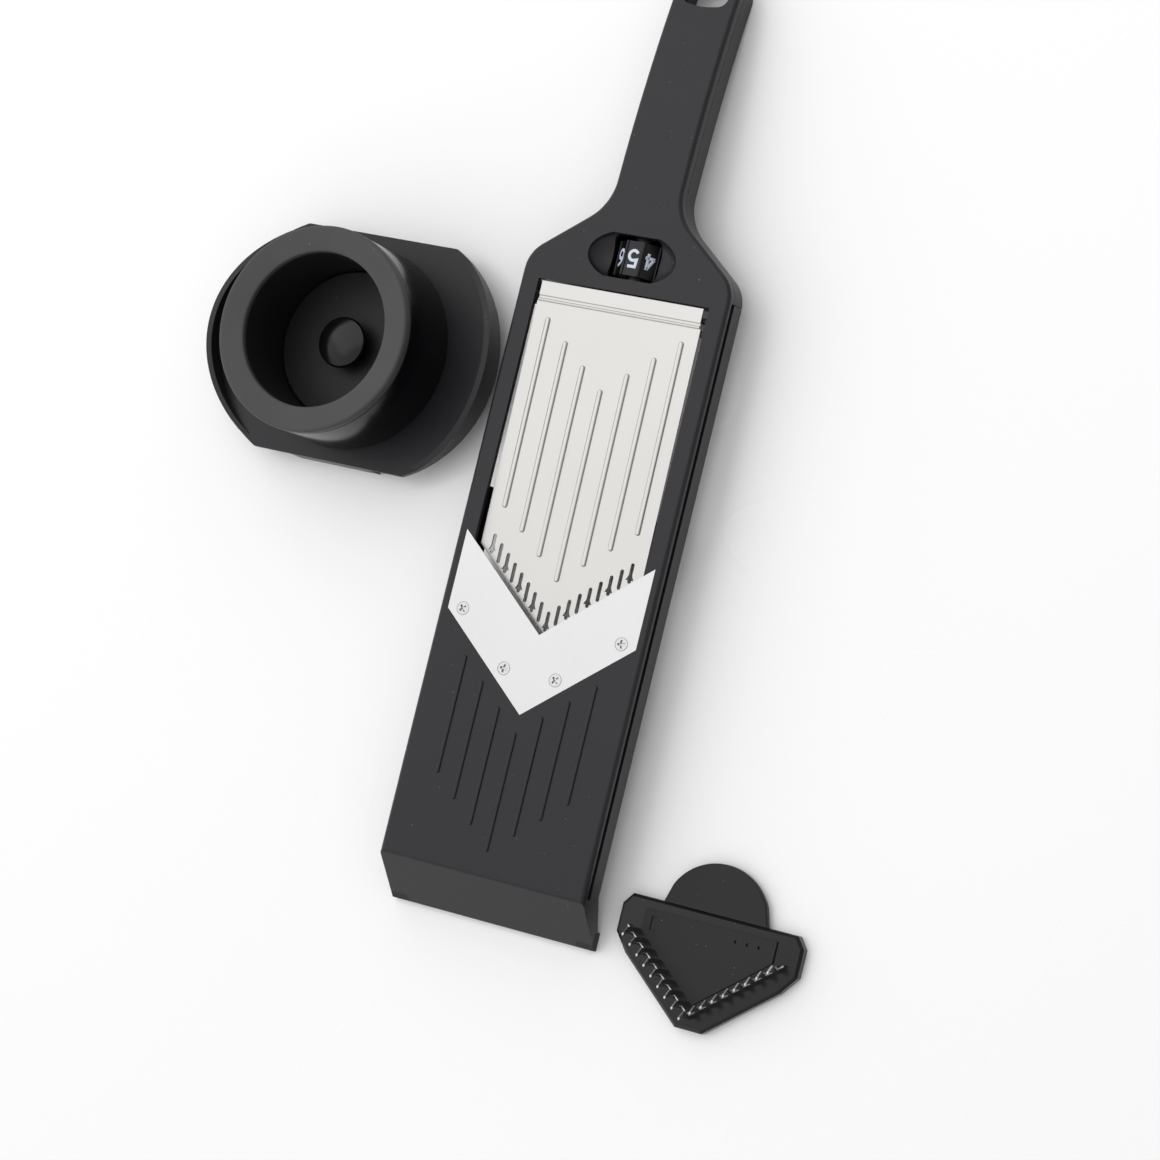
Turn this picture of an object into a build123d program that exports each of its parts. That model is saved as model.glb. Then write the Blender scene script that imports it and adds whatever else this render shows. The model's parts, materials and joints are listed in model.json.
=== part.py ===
from build123d import *
import os
from math import asin, cos, degrees, hypot, radians, sin, sqrt, tan

# Mandoline slicer with a hinged ramp, a thickness dial, a food holder and a julienne insert.
# Millimetres. +X is the slicer's right, +Y runs from its feet to its handle, +Z is up. It lies level
# on the table, on its two feet and on the end of its handle. The origin is on the table, midway
# between the feet. The food holder stands on its left and the julienne insert on its right.

# Body: deck, rails, lip and handle
HALF_WIDTH = 55.5        # centre line to the outside of a rail
DECK_Z = 30.0            # top of the deck above the table
DECK_T = 3.0             # thickness of the deck
WALL = 2.6               # thickness of the side walls
RAIL_DEPTH = 17.0        # height of a rail, and of the handle
RAIL_FACE_W = 9.5        # outside of a rail to the ramp's window
PIN_Y = 305.5            # hinge pin of the ramp
BLADE_Y = 141.0          # inner corner of the V blade, its cutting edge
BEND_Y = 22.0            # where the deck turns down into the lip
LIP_BOTTOM_Z = 3.5       # lower edge of the lip
LIP_T = 3.0
CHEEK_Y = 8.0            # the rails' lower edge rises from here to full rail height
CHEEK_END_Y = 26.0
SHOULDER_Y = PIN_Y + 18.2
SHOULDER_R = 17.0
NECK_HALF = 18.0         # half width of the handle at the neck
NECK_CORNER_Y = SHOULDER_Y + 29.9
NECK_R = 26.0
END_HALF = 17.2          # half width of the handle at its end
HANDLE_LENGTH = 127.4    # neck corner to the end of the handle
END_R = 13.5
HANDLE_DROP = 15.0       # how far the handle's top has come down at its end
EDGE_R = 2.0             # rounding of the upper edges
SEAM_DEPTH = 6.0         # parting line of the two shells, below the top
SEAM_GAP = 0.3
GROOVE_TOP = 3.4         # guide groove in a rail's side, below the deck
GROOVE_H = 3.6
GROOVE_DEPTH = 1.3
EYE_HALF = 12.0          # hanging eye in the handle
EYE_LENGTH = 16.5
EYE_BACK = 5.5           # eye to the end of the handle
EYE_R = 5.0
EYE_WALL = 2.2

# Deck ribs
RIBS_EACH_SIDE = 3
DECK_RIB_PITCH = 11.8
DECK_RIB_LENGTH = 58.7
DECK_RIB_W = 2.0
DECK_RIB_H = 0.8
DECK_RIB_STEP = 10.3     # each rib out from the middle starts this much further up
DECK_RIB_BACK = 107.0    # lower end of the middle rib to the cutting edge

# Blade
BLADE_SPAN = 39.5        # from the inner corner to the outer corner
BLADE_LAP = 5.0          # the blade's ends lie this far over the rails
BLADE_T = 1.2
V_RISE = tan(radians(40.0))
BEVEL_W = 4.0            # ground bevel under the cutting edge
BEVEL_H = 0.8
SEAT_CLEARANCE = 0.15
EXIT_BACK = 14.0         # the deck ends this far behind the cutting edge
SCREW_INSET = 8.0        # outer screws to the blade's ends
INNER_SCREW_X = 14.0
OUTER_SCREW_BACK = 31.6  # screws behind the cutting edge, measured along Y
INNER_SCREW_BACK = 31.2
SCREW_HEAD_R = 3.25
SCREW_R = 1.75
SCREW_LENGTH = 11.0
SCREW_FIT = 0.1
INSERT_R = 3.0
INSERT_LENGTH = 6.5
BOSS_WALL = 1.8

# Ramp
RAMP_SIDE_GAP = 2.0
RAMP_GAP = 0.8           # ramp edge to cutting edge, seen from above
SHEET_T = 1.0
SHEET_DROP = 0.3         # level sheet below the deck
STRIP_RISE = 0.6         # hinge strip above the sheet
STRIP_INSET = 0.6
STRIP_BEFORE = 1.5       # hinge strip from this far before the pin
STRIP_BEHIND = 5.5       # to this far behind it
STRIP_END_GAP = 0.6
FLANGE_H = 5.0
RAMP_RIB_PITCH = 12.0
RAMP_RIB_W = 2.6
RAMP_RIB_H = 0.9
RAMP_RIB_STEP = 10.0
RAMP_RIB_START = 27.0    # cutting edge to the lower end of the middle rib
RAMP_RIB_END = 7.5       # upper end of the outermost ribs to the end of the sheet
KNIVES_EACH_SIDE = 8
KNIFE_PITCH = 4.67
SLOT_W = 1.9
SLOT_LENGTH = 10.0
SLOT_BACK = 2.4          # slot end to cutting edge
FLARE_R = 2.1
CARRIER_BAR_W = 6.5
CARRIER_BAR_T = 4.0
CARRIER_RIB_T = 2.7
CARRIER_FRONT_BACK = 16.0
PIN_DEPTH = 5.0          # hinge pin below the deck
PIN_R = 1.5
PIN_FIT = 0.05
PIN_SEAT = 0.02
KNUCKLE_R = 3.0
KNUCKLE_W = 10.0
SPRING_WIRE = 0.7
SPRING_R = 2.5
SPRING_TURNS = 5.25
SPRING_X = 15.0

# Thickness dial and cam
SETTINGS = 8             # numbered 0 to 7, one on each facet
REST_SETTING = 5
STEP_MM = 1.0            # ramp edge drop for one setting
SHAFT_DEPTH = 12.5       # shaft axis below the deck
SHAFT_R = 2.5
SHAFT_FLAT = 0.6
SHAFT_FIT = 0.05
NECK_WALL_T = 3.2
NECK_WALL_GAP = 0.8
DIAL_LENGTH = 17.0
DIAL_FLAT_R = 10.8
DIAL_RIDGE_R = 12.2
DIAL_RIDGE_W = 1.5
DIAL_WINDOW_HALF = 12.8
DIAL_WINDOW_LENGTH = 22.0
DIAL_WINDOW_R = 3.5
DIAL_WINDOW_START = 6.6  # end of the ramp's window to the dial's window
SCALLOP_HALF = 23.5
SCALLOP_DEPTH = 7.5
CLICK_R = 5.8
CLICK_LENGTH = 5.2
CLICK_SPRING_W = 2.6
CLICK_GAP = 0.35
CLICK_LEAF_T = 0.5
CAM_AHEAD = 71.0         # blade's inner corner to the cam
CAM_W = 6.0
CAM_R = 7.8              # radius that holds the ramp level
CAM_CLEARANCE = 0.25
FOLLOWER_HALF = 1.2
BUSH_WALL = 1.5
REAR_RIB_T = 3.0
BRIDGE_W = 10.0
BRIDGE_H = 5.3
BRIDGE_GAP = 2.0         # bridge to cam
BRIDGE_SCREW_INSET = 5.9
SHELF_AHEAD = 17.0       # blade's inner corner to the shelves beside the ramp, which reach the bridge
SHELF_DEPTH = 8.6        # top of a shelf below the deck
SHELF_T = 2.0
SHELF_GAP = 0.5          # shelf to the ramp's flange

# Handle cover
POD_HALF = 17.0
POD_WALL = 1.8
POD_GAP = 0.7            # dial to the pod's floor
COVER_SCREW_INSET = 18.5
COVER_SCREW_R = 1.5
COVER_HEAD_R = 2.8
COVER_BOSS_R = 3.8
HEAD_H = 2.0
HEAD_SINK = 3.0

# Feet
FOOT_W = 9.0
FOOT_L = 9.0
FOOT_H = 7.0

# Food holder
HOLDER_BESIDE = 8.5      # gap to the slicer; the holder's long axis lies across the slicer's
HOLDER_Y = 262.0
HOLDER_GAP = 0.75        # tab to rail
TAB_T = 2.55
TRAY_T = 3.0
TRAY_STRAIGHT = 43.0     # half length of its straight sides
TRAY_END = 80.0          # half length over the rounded ends
TRAY_RIM_T = 3.0
TRAY_RIM_H = 15.0
TAB_HALF = 23.0
TAB_DEPTH = 13.0
HOOK_FIT = 0.35
TUBE_R = 52.0
TUBE_WALL = 2.6
TUBE_H = 48.0
SLEEVE_R = 39.0
SLEEVE_WALL = 2.4
RING_H = 5.0
RING_SLOPE = 2.0
PUSHER_FIT = 0.5
PUSHER_T = 3.0
PUSHER_LEDGE = 2.0
LEDGE_T = 1.5
PUSHER_LIFT = 0.4
PIN_RING_R = 24.0
FOOD_PINS = 9
FOOD_PIN_R = 0.8
FOOD_PIN_LENGTH = 9.0
FOOD_PIN_SKIN = 0.8
KNOB_STEM_R = 4.0

# Julienne insert
INSERT_BESIDE = 9.5      # gap to the slicer
INSERT_Y = -30.0         # its front corner
JULIENNE_HALF = 47.0
JULIENNE_T = 6.0
JULIENNE_DEPTH = 62.0
JULIENNE_CLIP = 7.0
COMB_T = 1.0
COMB_BACK = 13.0         # comb corner behind the front corner
COMB_STRIP_H = 3.0
KNIFE_H = 14.0
KNIFE_W = 4.4
PANEL_T = 1.2
PANEL_BACK = 5.0
GRIP_HALF = 27.0
GRIP_LENGTH = 24.0
GRIP_T = 3.0

END_Y = NECK_CORNER_Y + HANDLE_LENGTH
CURVE_Y = NECK_CORNER_Y - 11.6          # where the handle starts to curve down
CURVE_R = ((END_Y - CURVE_Y) ** 2 + HANDLE_DROP ** 2) / (2 * HANDLE_DROP)
EYE_Y1 = END_Y - EYE_BACK
EYE_Y0 = EYE_Y1 - EYE_LENGTH
WINDOW_HALF = HALF_WIDTH - RAIL_FACE_W
BLADE_HALF = WINDOW_HALF + BLADE_LAP
RAMP_HALF = WINDOW_HALF - RAMP_SIDE_GAP
STRIP_HALF = RAMP_HALF - STRIP_INSET
STRIP_Y0 = PIN_Y - STRIP_BEFORE
STRIP_Y1 = PIN_Y + STRIP_BEHIND
SHEET_END_Y = STRIP_Y0 - 3.0
RAMP_RIB_Y0 = BLADE_Y + RAMP_RIB_START + RAMP_RIB_STEP * RIBS_EACH_SIDE
RAMP_RIB_LENGTH = SHEET_END_Y - RAMP_RIB_END - RAMP_RIB_Y0
WINDOW_END_Y = STRIP_Y1 + STRIP_END_GAP
PIN_Z = DECK_Z - PIN_DEPTH
SHEET_Z = DECK_Z - SHEET_DROP
EDGE_REACH = PIN_Y - BLADE_Y
REST_TILT = degrees(asin(REST_SETTING * STEP_MM / EDGE_REACH))
SHAFT_Z = DECK_Z - SHAFT_DEPTH
BUSH_R = SHAFT_R + SHAFT_FIT + BUSH_WALL
NECK_WALL = (WINDOW_END_Y + NECK_WALL_GAP, WINDOW_END_Y + NECK_WALL_GAP + NECK_WALL_T)
COVER_Y0 = NECK_WALL[1] + 0.4
DIAL_Y = WINDOW_END_Y + DIAL_WINDOW_START + DIAL_WINDOW_LENGTH / 2
REAR_RIB = (DIAL_Y + DIAL_WINDOW_LENGTH / 2 + 3.4, DIAL_Y + DIAL_WINDOW_LENGTH / 2 + 3.4 + REAR_RIB_T)
CAM_Y = BLADE_Y + CAM_AHEAD
CAM_STEP = STEP_MM * (PIN_Y - CAM_Y) / EDGE_REACH
BRIDGE_Y = CAM_Y - CAM_W / 2 - BRIDGE_GAP - BRIDGE_W / 2
BRIDGE_Z0 = DECK_Z - RAIL_DEPTH + 0.2
BRIDGE_SCREW_X = HALF_WIDTH - BRIDGE_SCREW_INSET
SHAFT_Y0 = BRIDGE_Y - BRIDGE_W / 2 - 3.0
SHAFT_Y1 = REAR_RIB[1] + 1.6
POD_Y1 = SHAFT_Y1 + 0.6 + POD_WALL
POD_Z = SHAFT_Z - DIAL_RIDGE_R - POD_GAP - POD_WALL
FACET = 360.0 / SETTINGS
HOLDER_X = -(HALF_WIDTH + HOLDER_BESIDE + TRAY_END)
INSERT_X = HALF_WIDTH + INSERT_BESIDE + JULIENNE_HALF
TRAY_HALF = HALF_WIDTH + HOLDER_GAP + TAB_T
TRAY_Z = TAB_DEPTH
SCREW_PLACES = ((BLADE_HALF - SCREW_INSET, OUTER_SCREW_BACK), (INNER_SCREW_X, INNER_SCREW_BACK))
COVER_SCREWS = ((HALF_WIDTH - COVER_SCREW_INSET, COVER_Y0 + 8.0),
                (COVER_SCREW_INSET - HALF_WIDTH, COVER_Y0 + 8.0),
                (0.0, NECK_CORNER_Y + 24.4), (0.0, EYE_Y0 - 19.0))


def box(x0, x1, y0, y1, z0, z1):
    return Pos((x0 + x1) / 2, (y0 + y1) / 2, (z0 + z1) / 2) * Box(x1 - x0, y1 - y0, z1 - z0)


def post(x, y, z0, z1, radius):
    return Pos(x, y, (z0 + z1) / 2) * Cylinder(radius, z1 - z0)


def rod_x(x0, x1, y, z, radius):
    return Pos((x0 + x1) / 2, y, z) * Rot(0, 90, 0) * Cylinder(radius, x1 - x0)


def rod_y(x, y0, y1, z, radius):
    return Pos(x, (y0 + y1) / 2, z) * Rot(90, 0, 0) * Cylinder(radius, y1 - y0)


def prism(points, z0, z1):
    return extrude(Pos(0, 0, z0) * make_face(Polyline(*points, close=True)), z1 - z0)


def mirrored(points):
    """A closed outline from its right half, listed from the lower centre to the upper centre."""
    return points + [(-x, y) for x, y in reversed(points) if x > 0]


def joined(shapes):
    total = shapes[0]
    for shape in shapes[1:]:
        total += shape
    return total


def group(shapes):
    return Compound(children=[piece for shape in shapes for piece in shape.solids()])


def v_y(x, start):
    """Height up the slicer of a V line through (0, start)."""
    return start + V_RISE * abs(x)


def top_z(y, depth=0.0):
    """Height of the surface that lies depth below the body's top."""
    if y <= CURVE_Y:
        return DECK_Z - depth
    return DECK_Z - CURVE_R + sqrt((CURVE_R - depth) ** 2 - (y - CURVE_Y) ** 2)


def layer(y0, y1, depth0, depth1):
    """Full-width slab between two depths below the top, following the handle's curve."""
    middle = (CURVE_Y + y1) / 2
    upper = ThreePointArc((CURVE_Y, top_z(CURVE_Y, depth0)), (middle, top_z(middle, depth0)),
                          (y1, top_z(y1, depth0)))
    lower = ThreePointArc((CURVE_Y, top_z(CURVE_Y, depth1)), (middle, top_z(middle, depth1)),
                          (y1, top_z(y1, depth1)))
    edges = [Line((y0, top_z(y0, depth0)), upper @ 0), upper, Line(upper @ 1, lower @ 1), lower,
             Line(lower @ 0, (y0, top_z(y0, depth1))),
             Line((y0, top_z(y0, depth1)), (y0, top_z(y0, depth0)))]
    return extrude(Plane.YZ * make_face(edges), HALF_WIDTH + 5, both=True)


def plan(inset=0.0):
    """Outline of body and handle in plan, drawn inwards by inset."""
    points = mirrored([(HALF_WIDTH, 0), (HALF_WIDTH, SHOULDER_Y), (NECK_HALF, NECK_CORNER_Y),
                       (END_HALF, END_Y)])
    face = make_face(Polyline(*points, close=True))
    for x, y, radius in ((HALF_WIDTH, SHOULDER_Y, SHOULDER_R), (NECK_HALF, NECK_CORNER_Y, NECK_R),
                         (END_HALF, END_Y, END_R)):
        corners = [v for v in face.vertices() if abs(abs(v.X) - x) < 0.01 and abs(v.Y - y) < 0.01]
        face = fillet(corners, radius)
    return offset(face, -inset) if inset else face


def column(face, z0, z1):
    return extrude(Pos(0, 0, z0) * face, z1 - z0)


def across(points, half):
    """Prism across the slicer, from an outline of (y, z) points."""
    return extrude(Plane.YZ * make_face(Polyline(*points, close=True)), half, both=True)


def body_block():
    """The whole outer form: plan outline cut to the side profile, with rounded upper edges."""
    cheek = [(0, LIP_BOTTOM_Z), (CHEEK_Y, LIP_BOTTOM_Z), (CHEEK_END_Y, DECK_Z - RAIL_DEPTH),
             (CHEEK_END_Y, DECK_Z), (BEND_Y, DECK_Z)]
    side = layer(BEND_Y, END_Y, 0, RAIL_DEPTH) + across(cheek, HALF_WIDTH + 5)
    block = side & column(plan(), 0, DECK_Z)
    rims = [e for e in block.edges() if abs(e.center().Z - top_z(e.center().Y)) < 0.5
            and not (abs(e.center().X) < 0.1 and abs(e.center().Y - CURVE_Y) < 0.1)]
    return fillet(rims, EDGE_R)


def behind_lip():
    """Everything behind the inner face of the lip."""
    run, rise = BEND_Y, DECK_Z - LIP_BOTTOM_Z
    length = hypot(run, rise)
    y, z = LIP_T * rise / length, LIP_BOTTOM_Z - LIP_T * run / length
    foot_y = y - (z + 1) * run / rise
    bend_y = y + (DECK_Z - z) * run / rise
    return across([(foot_y, -1), (bend_y, DECK_Z), (END_Y + 5, DECK_Z), (END_Y + 5, -1)], HALF_WIDTH + 5)


def eye_face(grow=0.0):
    """Outline of the hanging eye: bowed lower edge, round upper edge."""
    low, high = EYE_Y0 + 2.0, EYE_Y1 - 5.5
    edges = [ThreePointArc((-EYE_HALF, low), (0, EYE_Y0), (EYE_HALF, low)),
             Line((EYE_HALF, low), (EYE_HALF, high)),
             ThreePointArc((EYE_HALF, high), (0, EYE_Y1), (-EYE_HALF, high)),
             Line((-EYE_HALF, high), (-EYE_HALF, low))]
    face = make_face(edges)
    face = fillet([v for v in face.vertices() if v.Y < low + 0.1], EYE_R)
    return offset(face, grow) if grow else face


def body_cavity():
    """The hollow inside deck, rails, shoulder and handle, open below."""
    cavity = column(plan(WALL), -1, DECK_Z) & layer(0, END_Y, DECK_T, 2 * DECK_Z) & behind_lip()
    return cavity - column(eye_face(EYE_WALL), -1, DECK_Z)


def foot_notch(side):
    """Space of one soft foot in a corner of the lip."""
    rise = (DECK_Z - LIP_BOTTOM_Z) / BEND_Y
    lean = (FOOT_H - LIP_BOTTOM_Z) / rise
    face = [(0, LIP_BOTTOM_Z), (lean, FOOT_H), (FOOT_L, FOOT_H), (FOOT_L, 0), (0, 0)]
    inner, outer = HALF_WIDTH - FOOT_W, HALF_WIDTH
    block = across(face, HALF_WIDTH)
    return block & box(*sorted((side * inner, side * outer)), -1, FOOT_L + 1, -1, FOOT_H + 1)


def foot(side):
    block = foot_notch(side)
    return fillet(block.edges().filter_by(lambda e: e.center().Z < 0.1), 0.9)


def chevron(start, span, half, z0, z1):
    """V-shaped plate whose inner corner is at (0, start), span deep, with arms out to half."""
    points = mirrored([(0, start - span), (half, v_y(half, start - span)), (half, v_y(half, start)),
                       (0, start)])
    return prism(points, z0, z1)


def bevel_cut(side):
    """Wedge ground off under one arm of the cutting edge."""
    along = Vector(side, V_RISE, 0).normalized()
    inward = Vector(side * V_RISE, -1, 0).normalized()
    plane = Plane(origin=(0, BLADE_Y, DECK_Z - BLADE_T), x_dir=inward, z_dir=along)
    lift = BEVEL_H if plane.y_dir.Z > 0 else -BEVEL_H
    wedge = Polyline((-1, lift * (1 + 1 / BEVEL_W)), (-1, -lift), (BEVEL_W, -lift), (BEVEL_W, 0), close=True)
    return extrude(plane * make_face(wedge), 2 * BLADE_HALF, both=True)


def blade_places():
    return [(side * x, v_y(x, BLADE_Y) - back) for x, back in SCREW_PLACES for side in (-1, 1)]


def countersunk(x, y, extra=0.0):
    """Head and shank of a countersunk screw, grown by extra, with its head flush in the blade."""
    cone_h = SCREW_HEAD_R - SCREW_R
    head = Pos(x, y, DECK_Z - cone_h / 2) * Cone(SCREW_R + extra, SCREW_HEAD_R + extra, cone_h)
    return head + post(x, y, DECK_Z - SCREW_LENGTH, DECK_Z - cone_h / 2, SCREW_R + extra)


def cross_recess(x, y, z, size, depth):
    arm = 0.26 * size
    return box(x - size / 2, x + size / 2, y - arm / 2, y + arm / 2, z - depth, z + 1) \
        + box(x - arm / 2, x + arm / 2, y - size / 2, y + size / 2, z - depth, z + 1)


def blade_screws():
    return group([countersunk(x, y) - cross_recess(x, y, DECK_Z, 3.8, 1.1) for x, y in blade_places()])


def v_blade():
    blade = chevron(BLADE_Y, BLADE_SPAN, BLADE_HALF, DECK_Z - BLADE_T, DECK_Z)
    for side in (-1, 1):
        blade -= bevel_cut(side) & box(*sorted((0, side * 60)), 0, END_Y, 0, DECK_Z)
    for x, y in blade_places():
        blade -= countersunk(x, y, SCREW_FIT)
    return blade


def insert_z():
    top = DECK_Z - DECK_T
    return top - INSERT_LENGTH, top


def blade_inserts():
    z0, z1 = insert_z()
    return group([post(x, y, z0, z1, INSERT_R) - post(x, y, z0, z1, SCREW_R + SHAFT_FIT)
                  for x, y in blade_places()])


def deck_ribs():
    """Seven raised ribs below the blade; their ends step up in a V like the blade."""
    ribs = []
    for index in range(-RIBS_EACH_SIDE, RIBS_EACH_SIDE + 1):
        y = BLADE_Y - DECK_RIB_BACK + DECK_RIB_STEP * abs(index) + DECK_RIB_LENGTH / 2
        outline = Rot(0, 0, 90) * SlotOverall(DECK_RIB_LENGTH, DECK_RIB_W)
        face = Pos(index * DECK_RIB_PITCH, y, DECK_Z - 0.2) * outline
        rib = extrude(face, DECK_RIB_H + 0.2)
        ribs.append(fillet(rib.faces().sort_by(Axis.Z)[-1].edges(), 0.6))
    return ribs


def window_cut():
    back = BLADE_Y - EXIT_BACK
    points = mirrored([(0, back), (WINDOW_HALF, v_y(WINDOW_HALF, back)), (WINDOW_HALF, WINDOW_END_Y),
                       (0, WINDOW_END_Y)])
    return prism(points, DECK_Z - DECK_T - 1, DECK_Z + 1)


def guide_groove(side):
    outer = side * (HALF_WIDTH + 1)
    inner = side * (HALF_WIDTH - GROOVE_DEPTH)
    z1 = DECK_Z - GROOVE_TOP
    return box(*sorted((inner, outer)), BEND_Y + 2, COVER_Y0, z1 - GROOVE_H, z1)


def dish(grow, z1):
    """Ellipsoid of the finger scallops, as long as the dial window."""
    half_y = (DIAL_WINDOW_LENGTH / 2) / sqrt(1 - (DIAL_WINDOW_HALF / SCALLOP_HALF) ** 2)
    ball = scale(Sphere(1), by=(SCALLOP_HALF + grow, half_y + grow, SCALLOP_DEPTH + grow))
    length = DIAL_WINDOW_LENGTH / 2 + grow
    return (Pos(0, DIAL_Y, DECK_Z) * ball) & box(-30, 30, DIAL_Y - length, DIAL_Y + length, 0, z1)


def dial_window():
    face = RectangleRounded(2 * DIAL_WINDOW_HALF, DIAL_WINDOW_LENGTH, DIAL_WINDOW_R)
    return extrude(Pos(0, DIAL_Y, SHAFT_Z) * face, DECK_Z)


def bush(y0, y1):
    return rod_y(0, y0, y1, SHAFT_Z, BUSH_R) - rod_y(0, y0, y1, SHAFT_Z, SHAFT_R + SHAFT_FIT)


def front_bush():
    return bush(BRIDGE_Y - BRIDGE_W / 2, BRIDGE_Y + BRIDGE_W / 2)


def neck_bush():
    return bush(*NECK_WALL)


def rear_bush():
    return bush(*REAR_RIB)


def cover_split(y):
    """Height where the bosses of the two shells meet."""
    return top_z(y, SEAM_DEPTH + 4)


def shell_posts():
    """Bosses, ribs, walls and side shelves inside the upper shell."""
    z_in = DECK_Z - DECK_T + 0.2
    z0 = insert_z()[0]
    parts = [post(x, y, z0, z_in, INSERT_R + BOSS_WALL) for x, y in blade_places()]
    inner, skirt = WINDOW_HALF + 0.8, HALF_WIDTH - WALL + 0.2
    for side in (-1, 1):
        x_pair = sorted((side * inner, side * skirt))
        parts.append(box(*x_pair, PIN_Y - 5.5, PIN_Y + 5.5, PIN_Z - 4.5, z_in))
        parts.append(box(*x_pair, BRIDGE_Y - BRIDGE_W / 2, BRIDGE_Y + BRIDGE_W / 2,
                         BRIDGE_Z0 + BRIDGE_H, z_in))
        shelf_x = sorted((side * (RAMP_HALF + SHELF_GAP), side * skirt))
        shelf_z = (DECK_Z - SHELF_DEPTH - SHELF_T, DECK_Z - SHELF_DEPTH)
        parts.append(box(*shelf_x, BLADE_Y + SHELF_AHEAD, BRIDGE_Y, *shelf_z))
    parts.append(box(-skirt, skirt, *NECK_WALL, DECK_Z - RAIL_DEPTH, z_in))
    parts.append(box(-9, 9, *REAR_RIB, SHAFT_Z - BUSH_R - 1.5, z_in))
    for x, y in COVER_SCREWS:
        parts.append(post(x, y, cover_split(y), top_z(y, DECK_T - 0.4), COVER_BOSS_R))
    return parts


def shell_holes():
    """Bores in the upper shell for screws, inserts, pin and bushes."""
    z0, z1 = insert_z()
    holes = [countersunk(x, y, SCREW_FIT) for x, y in blade_places()]
    holes += [post(x, y, z0 - 1, z1, INSERT_R) for x, y in blade_places()]
    holes.append(rod_x(-HALF_WIDTH + WALL, HALF_WIDTH - WALL, PIN_Y, PIN_Z, PIN_R + PIN_SEAT))
    holes.append(rod_y(0, NECK_WALL[0] - 1, REAR_RIB[1] + 1, SHAFT_Z, BUSH_R))
    holes += [post(side * BRIDGE_SCREW_X, BRIDGE_Y, BRIDGE_Z0, DECK_Z - DECK_T - 1.5, COVER_SCREW_R + 0.02)
              for side in (-1, 1)]
    holes += [post(x, y, 0, top_z(y, DECK_T + 0.4), COVER_SCREW_R + 0.02) for x, y in COVER_SCREWS]
    return holes


def body_shell(block, cavity):
    shell = block - cavity
    shell -= layer(COVER_Y0, END_Y + 1, SEAM_DEPTH, 2 * DECK_Z)
    shell += joined(shell_posts())
    shell += dish(1.8, DECK_Z - 0.5)
    shell -= dish(0, DECK_Z + 5)
    shell -= dial_window()
    shell -= window_cut()
    shell -= chevron(BLADE_Y, BLADE_SPAN + SEAT_CLEARANCE, BLADE_HALF + SEAT_CLEARANCE,
                     DECK_Z - BLADE_T, DECK_Z + 1)
    shell -= column(eye_face(), -1, DECK_Z)
    for cut in shell_holes():
        shell -= cut
    for side in (-1, 1):
        shell -= foot_notch(side)
        shell -= guide_groove(side)
    for rib in deck_ribs():
        shell += rib
    return shell


def pod(grow):
    """Box around the lower half of the dial, below the shoulder."""
    return box(-POD_HALF - grow, POD_HALF + grow, COVER_Y0, POD_Y1 + grow, POD_Z - grow, SHAFT_Z + 2.5)


def handle_cover(block, cavity):
    """Lower shell of shoulder and handle, with the pod that closes off the dial."""
    below_seam = layer(COVER_Y0 + SEAM_GAP, END_Y + 1, SEAM_DEPTH + SEAM_GAP, 2 * DECK_Z)
    floor = layer(COVER_Y0 - 1, END_Y + 1, 0, RAIL_DEPTH - WALL)
    cover = (block & below_seam) - (cavity & floor)
    outer = pod(0) & box(-60, 60, COVER_Y0 + SEAM_GAP, END_Y, 0, DECK_Z - RAIL_DEPTH + WALL)
    outer = fillet(outer.edges().filter_by(lambda e: e.center().Z < POD_Z + 0.1
                                           and e.center().Y > COVER_Y0 + 1), 2.4)
    cover = cover + outer - pod(-POD_WALL)
    for x, y in COVER_SCREWS:
        z0 = top_z(y, RAIL_DEPTH)
        cover += post(x, y, z0 + 1.5, cover_split(y) - SEAM_GAP, COVER_BOSS_R)
        cover -= post(x, y, z0 - 3, cover_split(y) + 1, COVER_SCREW_R + 0.2)
        cover -= post(x, y, z0 - 3, z0 + HEAD_SINK, COVER_HEAD_R + 0.2)
    cover -= column(eye_face(), -1, DECK_Z)
    return cover & box(-60, 60, 0, END_Y, 0, DECK_Z)


def pan_screw(x, y, seat, tip):
    """Pan-head screw driven upwards, its head below seat."""
    head = post(x, y, seat - HEAD_H, seat, COVER_HEAD_R)
    head = fillet(head.edges().sort_by(Axis.Z)[0], 0.9)
    screw = head + post(x, y, seat, tip, COVER_SCREW_R)
    recess = box(-1.5, 1.5, -0.4, 0.4, -1, 1) + box(-0.4, 0.4, -1.5, 1.5, -1, 1)
    return screw - Pos(x, y, seat - HEAD_H) * recess


def cover_screws():
    return group([pan_screw(x, y, top_z(y, RAIL_DEPTH) + HEAD_SINK, top_z(y, DECK_T + 1.0))
                  for x, y in COVER_SCREWS])


def tilted(shape):
    """A piece of the ramp, drawn level, turned down about the hinge pin to the rest setting."""
    return Pos(0, PIN_Y, PIN_Z) * Rot(REST_TILT, 0, 0) * Pos(0, -PIN_Y, -PIN_Z) * shape


def ramp_ribs():
    ribs = []
    for index in range(-RIBS_EACH_SIDE, RIBS_EACH_SIDE + 1):
        y = BLADE_Y + RAMP_RIB_START + RAMP_RIB_STEP * abs(index) + RAMP_RIB_LENGTH / 2
        outline = Rot(0, 0, 90) * SlotOverall(RAMP_RIB_LENGTH, RAMP_RIB_W)
        face = Pos(index * RAMP_RIB_PITCH, y, SHEET_Z - 0.2) * outline
        rib = extrude(face, RAMP_RIB_H + 0.2)
        ribs.append(fillet(rib.faces().sort_by(Axis.Z)[-1].edges(), 0.8))
    return ribs


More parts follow.
